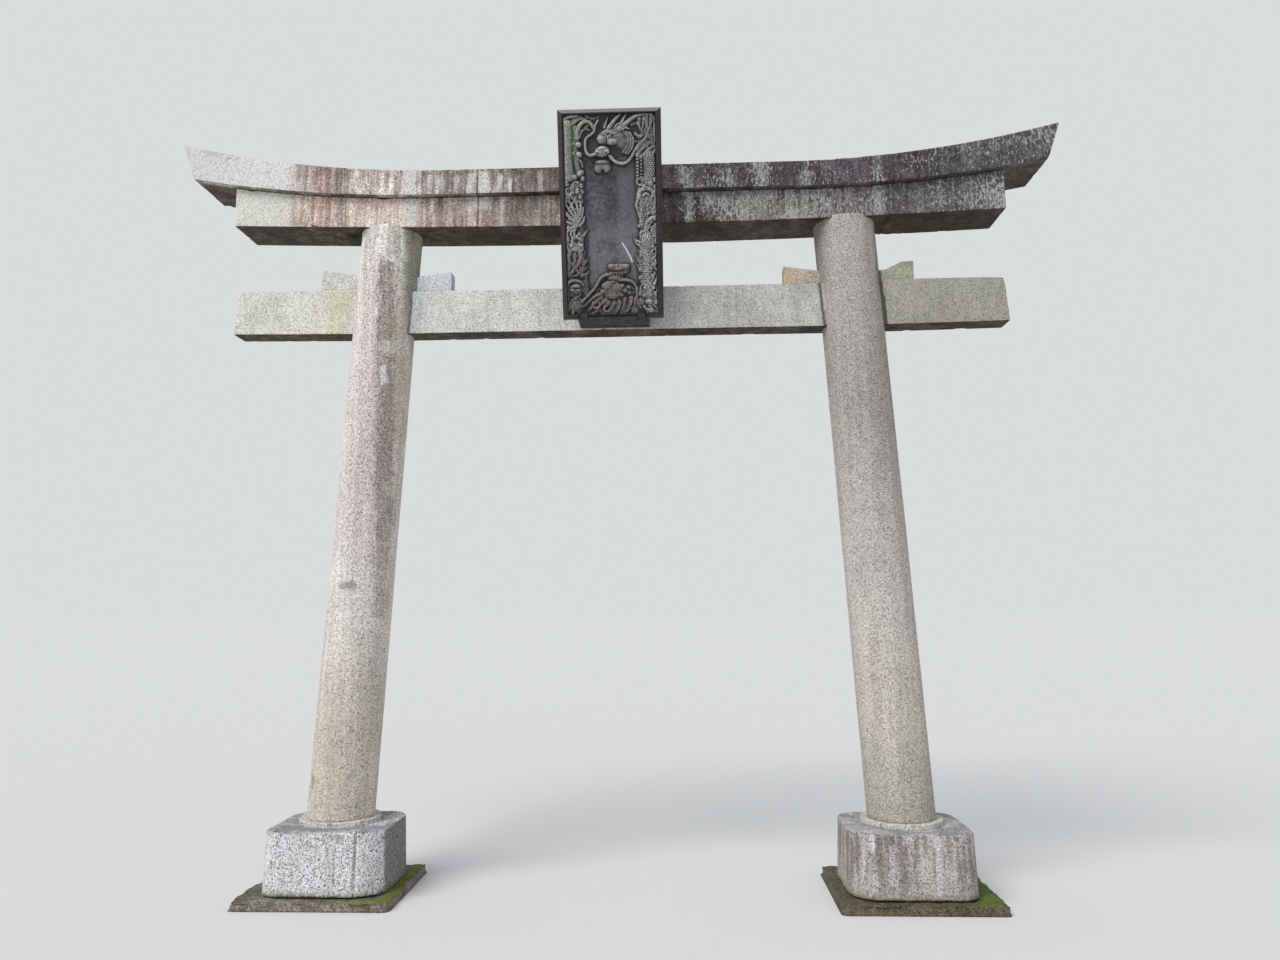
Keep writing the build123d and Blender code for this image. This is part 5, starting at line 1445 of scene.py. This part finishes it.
# a white scratch across the lower part of the field
scratchLine = smoothLine([(54, 383), (64, 366), (76, 348), (82, 334), (94, 312), (103, 288)])
scratch = np.exp(-((alongLine((slice(None), slice(None)), scratchLine)[0] / 3.2) ** 4))

# Each row of the grid is closed round the back of the relief, just inside the panel's face.
tilt = radians(plaque["tilt"])
edgeColumns = np.array([columns[-1], columns[0]])
ringAcross = np.concatenate([across, np.broadcast_to(edgeColumns, (len(rows), 2))], axis=1) / 1000
ringUp = np.concatenate([up, up[:, :2]], axis=1) / 1000
ringLift = np.concatenate([lift, np.full((len(rows), 2), plaque["back"])], axis=1) / 1000
out = ringLift - plaque["recess"]
rings = np.stack([
    ringAcross,
    gate["middleY"] - plaque["forward"] - ringUp * sin(tilt) - out * cos(tilt),
    plaque["foot"] + ringUp * cos(tilt) - out * sin(tilt)], -1)


def runningMean(values, reach):
    # Mean over a square of that many cells each way, taken along one axis and then the other.
    for axis in (0, 1):
        values = sum(np.roll(values, k, axis) for k in range(-reach, reach + 1)) / (2 * reach + 1)
    return values


# how far each point stands over the mean height around it, close by and further off
proud = (lift - runningMean(lift, 2)) / 3.0 + (lift - runningMean(lift, 6)) / 9.0
# ridge: painted highlight where a point stands proud and painted shade where it sits low, given to the bronze
# as an attribute.
ridge = np.clip(0.5 + 0.5 * proud, 0, 1)
ridge = np.concatenate([ridge, np.full((len(rows), 2), 0.5)], axis=1)
scratch = np.concatenate([scratch, np.zeros((len(rows), 2))], axis=1)
proudShare = np.clip(ringLift * 1000 / plaque["fullLift"], 0, 1)
relief = ringSurface("plaque_relief", rings, {"lift": proudShare, "ridge": ridge, "scratch": scratch})
finishPiece(relief, "plaque_relief", metalMaterials["plaque_bronze"])
print("plaque relief carved")

# Studio: pale floor and backdrop, light of the open sky and a broad soft sun from the upper left front.
studio = {"floor": (0.62, 0.62, 0.61), "backdrop": (0.697, 0.7135, 0.726), "sky": (0.93, 0.97, 1.04),
          "skyStrength": 0.60, "sunStrength": 2.4, "sunElevation": 48, "sunFromLeft": 38, "sunAngle": 35,
          "half": 90}
floorMesh = bpy.data.meshes.new("floor")
half = studio["half"]
floorCorners = [(-half, -half, 0), (half, -half, 0), (half, half, 0), (-half, half, 0)]
floorMesh.from_pydata(floorCorners, [], [(0, 1, 2, 3)])
floor = addObject("floor", floorMesh)
floorMaterial, _, floorShader, _ = startMaterial("studioFloor")
floorShader.inputs["Base Color"].default_value = (*studio["floor"], 1)
floorShader.inputs["Roughness"].default_value = 1.0
floorShader.inputs["Specular IOR Level"].default_value = 0.0
floorMesh.materials.append(floorMaterial)

world = bpy.data.worlds.new("studioWorld")
bpy.context.scene.world = world
world.use_nodes = True
sky = world.node_tree
rays = addNode(sky, "ShaderNodeLightPath").outputs
seen = addMath(sky, "MAXIMUM", rays["Is Glossy Ray"], rays["Is Transmission Ray"])
seen = addMath(sky, "MAXIMUM", rays["Is Camera Ray"], seen)
background = sky.nodes["Background"].inputs
sky.links.new(addMix(sky, seen, studio["sky"], studio["backdrop"]), background["Color"])
sky.links.new(addRange(sky, seen, 0, 1, studio["skyStrength"], 1.0), background["Strength"])


def aimed(place, forward, right):
    # A matrix whose -Z looks along forward, with right along its X.
    up = np.cross(right, forward)
    return Matrix([[right[k], up[k], -forward[k], place[k]] for k in range(3)] + [[0, 0, 0, 1]])


sunData = bpy.data.lights.new("softSun", "SUN")
sunData.energy = studio["sunStrength"]
sunData.angle = radians(studio["sunAngle"])
sun = addObject("softSun", sunData)
rise, left = radians(studio["sunElevation"]), radians(studio["sunFromLeft"])
sunWay = np.array([sin(left) * cos(rise), cos(left) * cos(rise), -sin(rise)])
sun.matrix_world = aimed((-4, -5, 7), sunWay, np.array([cos(left), -sin(left), 0.0]))

# The camera stands where the photograph was taken from: place, turn to the left, tilt up, roll and lens.
view = {"place": (0.33448, -4.94327, 1.41341), "turn": 0.04196, "tiltUp": 0.13144, "roll": -0.00648,
        "lens": 27.0}
cameraData = bpy.data.cameras.new("camera")
cameraData.sensor_width = 36.0
cameraData.lens = view["lens"]
cameraData.clip_end = 300
camera = addObject("camera", cameraData)
turn, tiltUp, roll = view["turn"], view["tiltUp"], view["roll"]
forward = np.array([-sin(turn) * cos(tiltUp), cos(turn) * cos(tiltUp), sin(tiltUp)])
levelRight = np.array([cos(turn), sin(turn), 0.0])
cameraRight = cos(roll) * levelRight + sin(roll) * np.cross(levelRight, forward)
camera.matrix_world = aimed(view["place"], forward, cameraRight)
bpy.context.scene.camera = camera
bpy.context.scene.view_settings.view_transform = "Standard"
print("studio and camera ready")
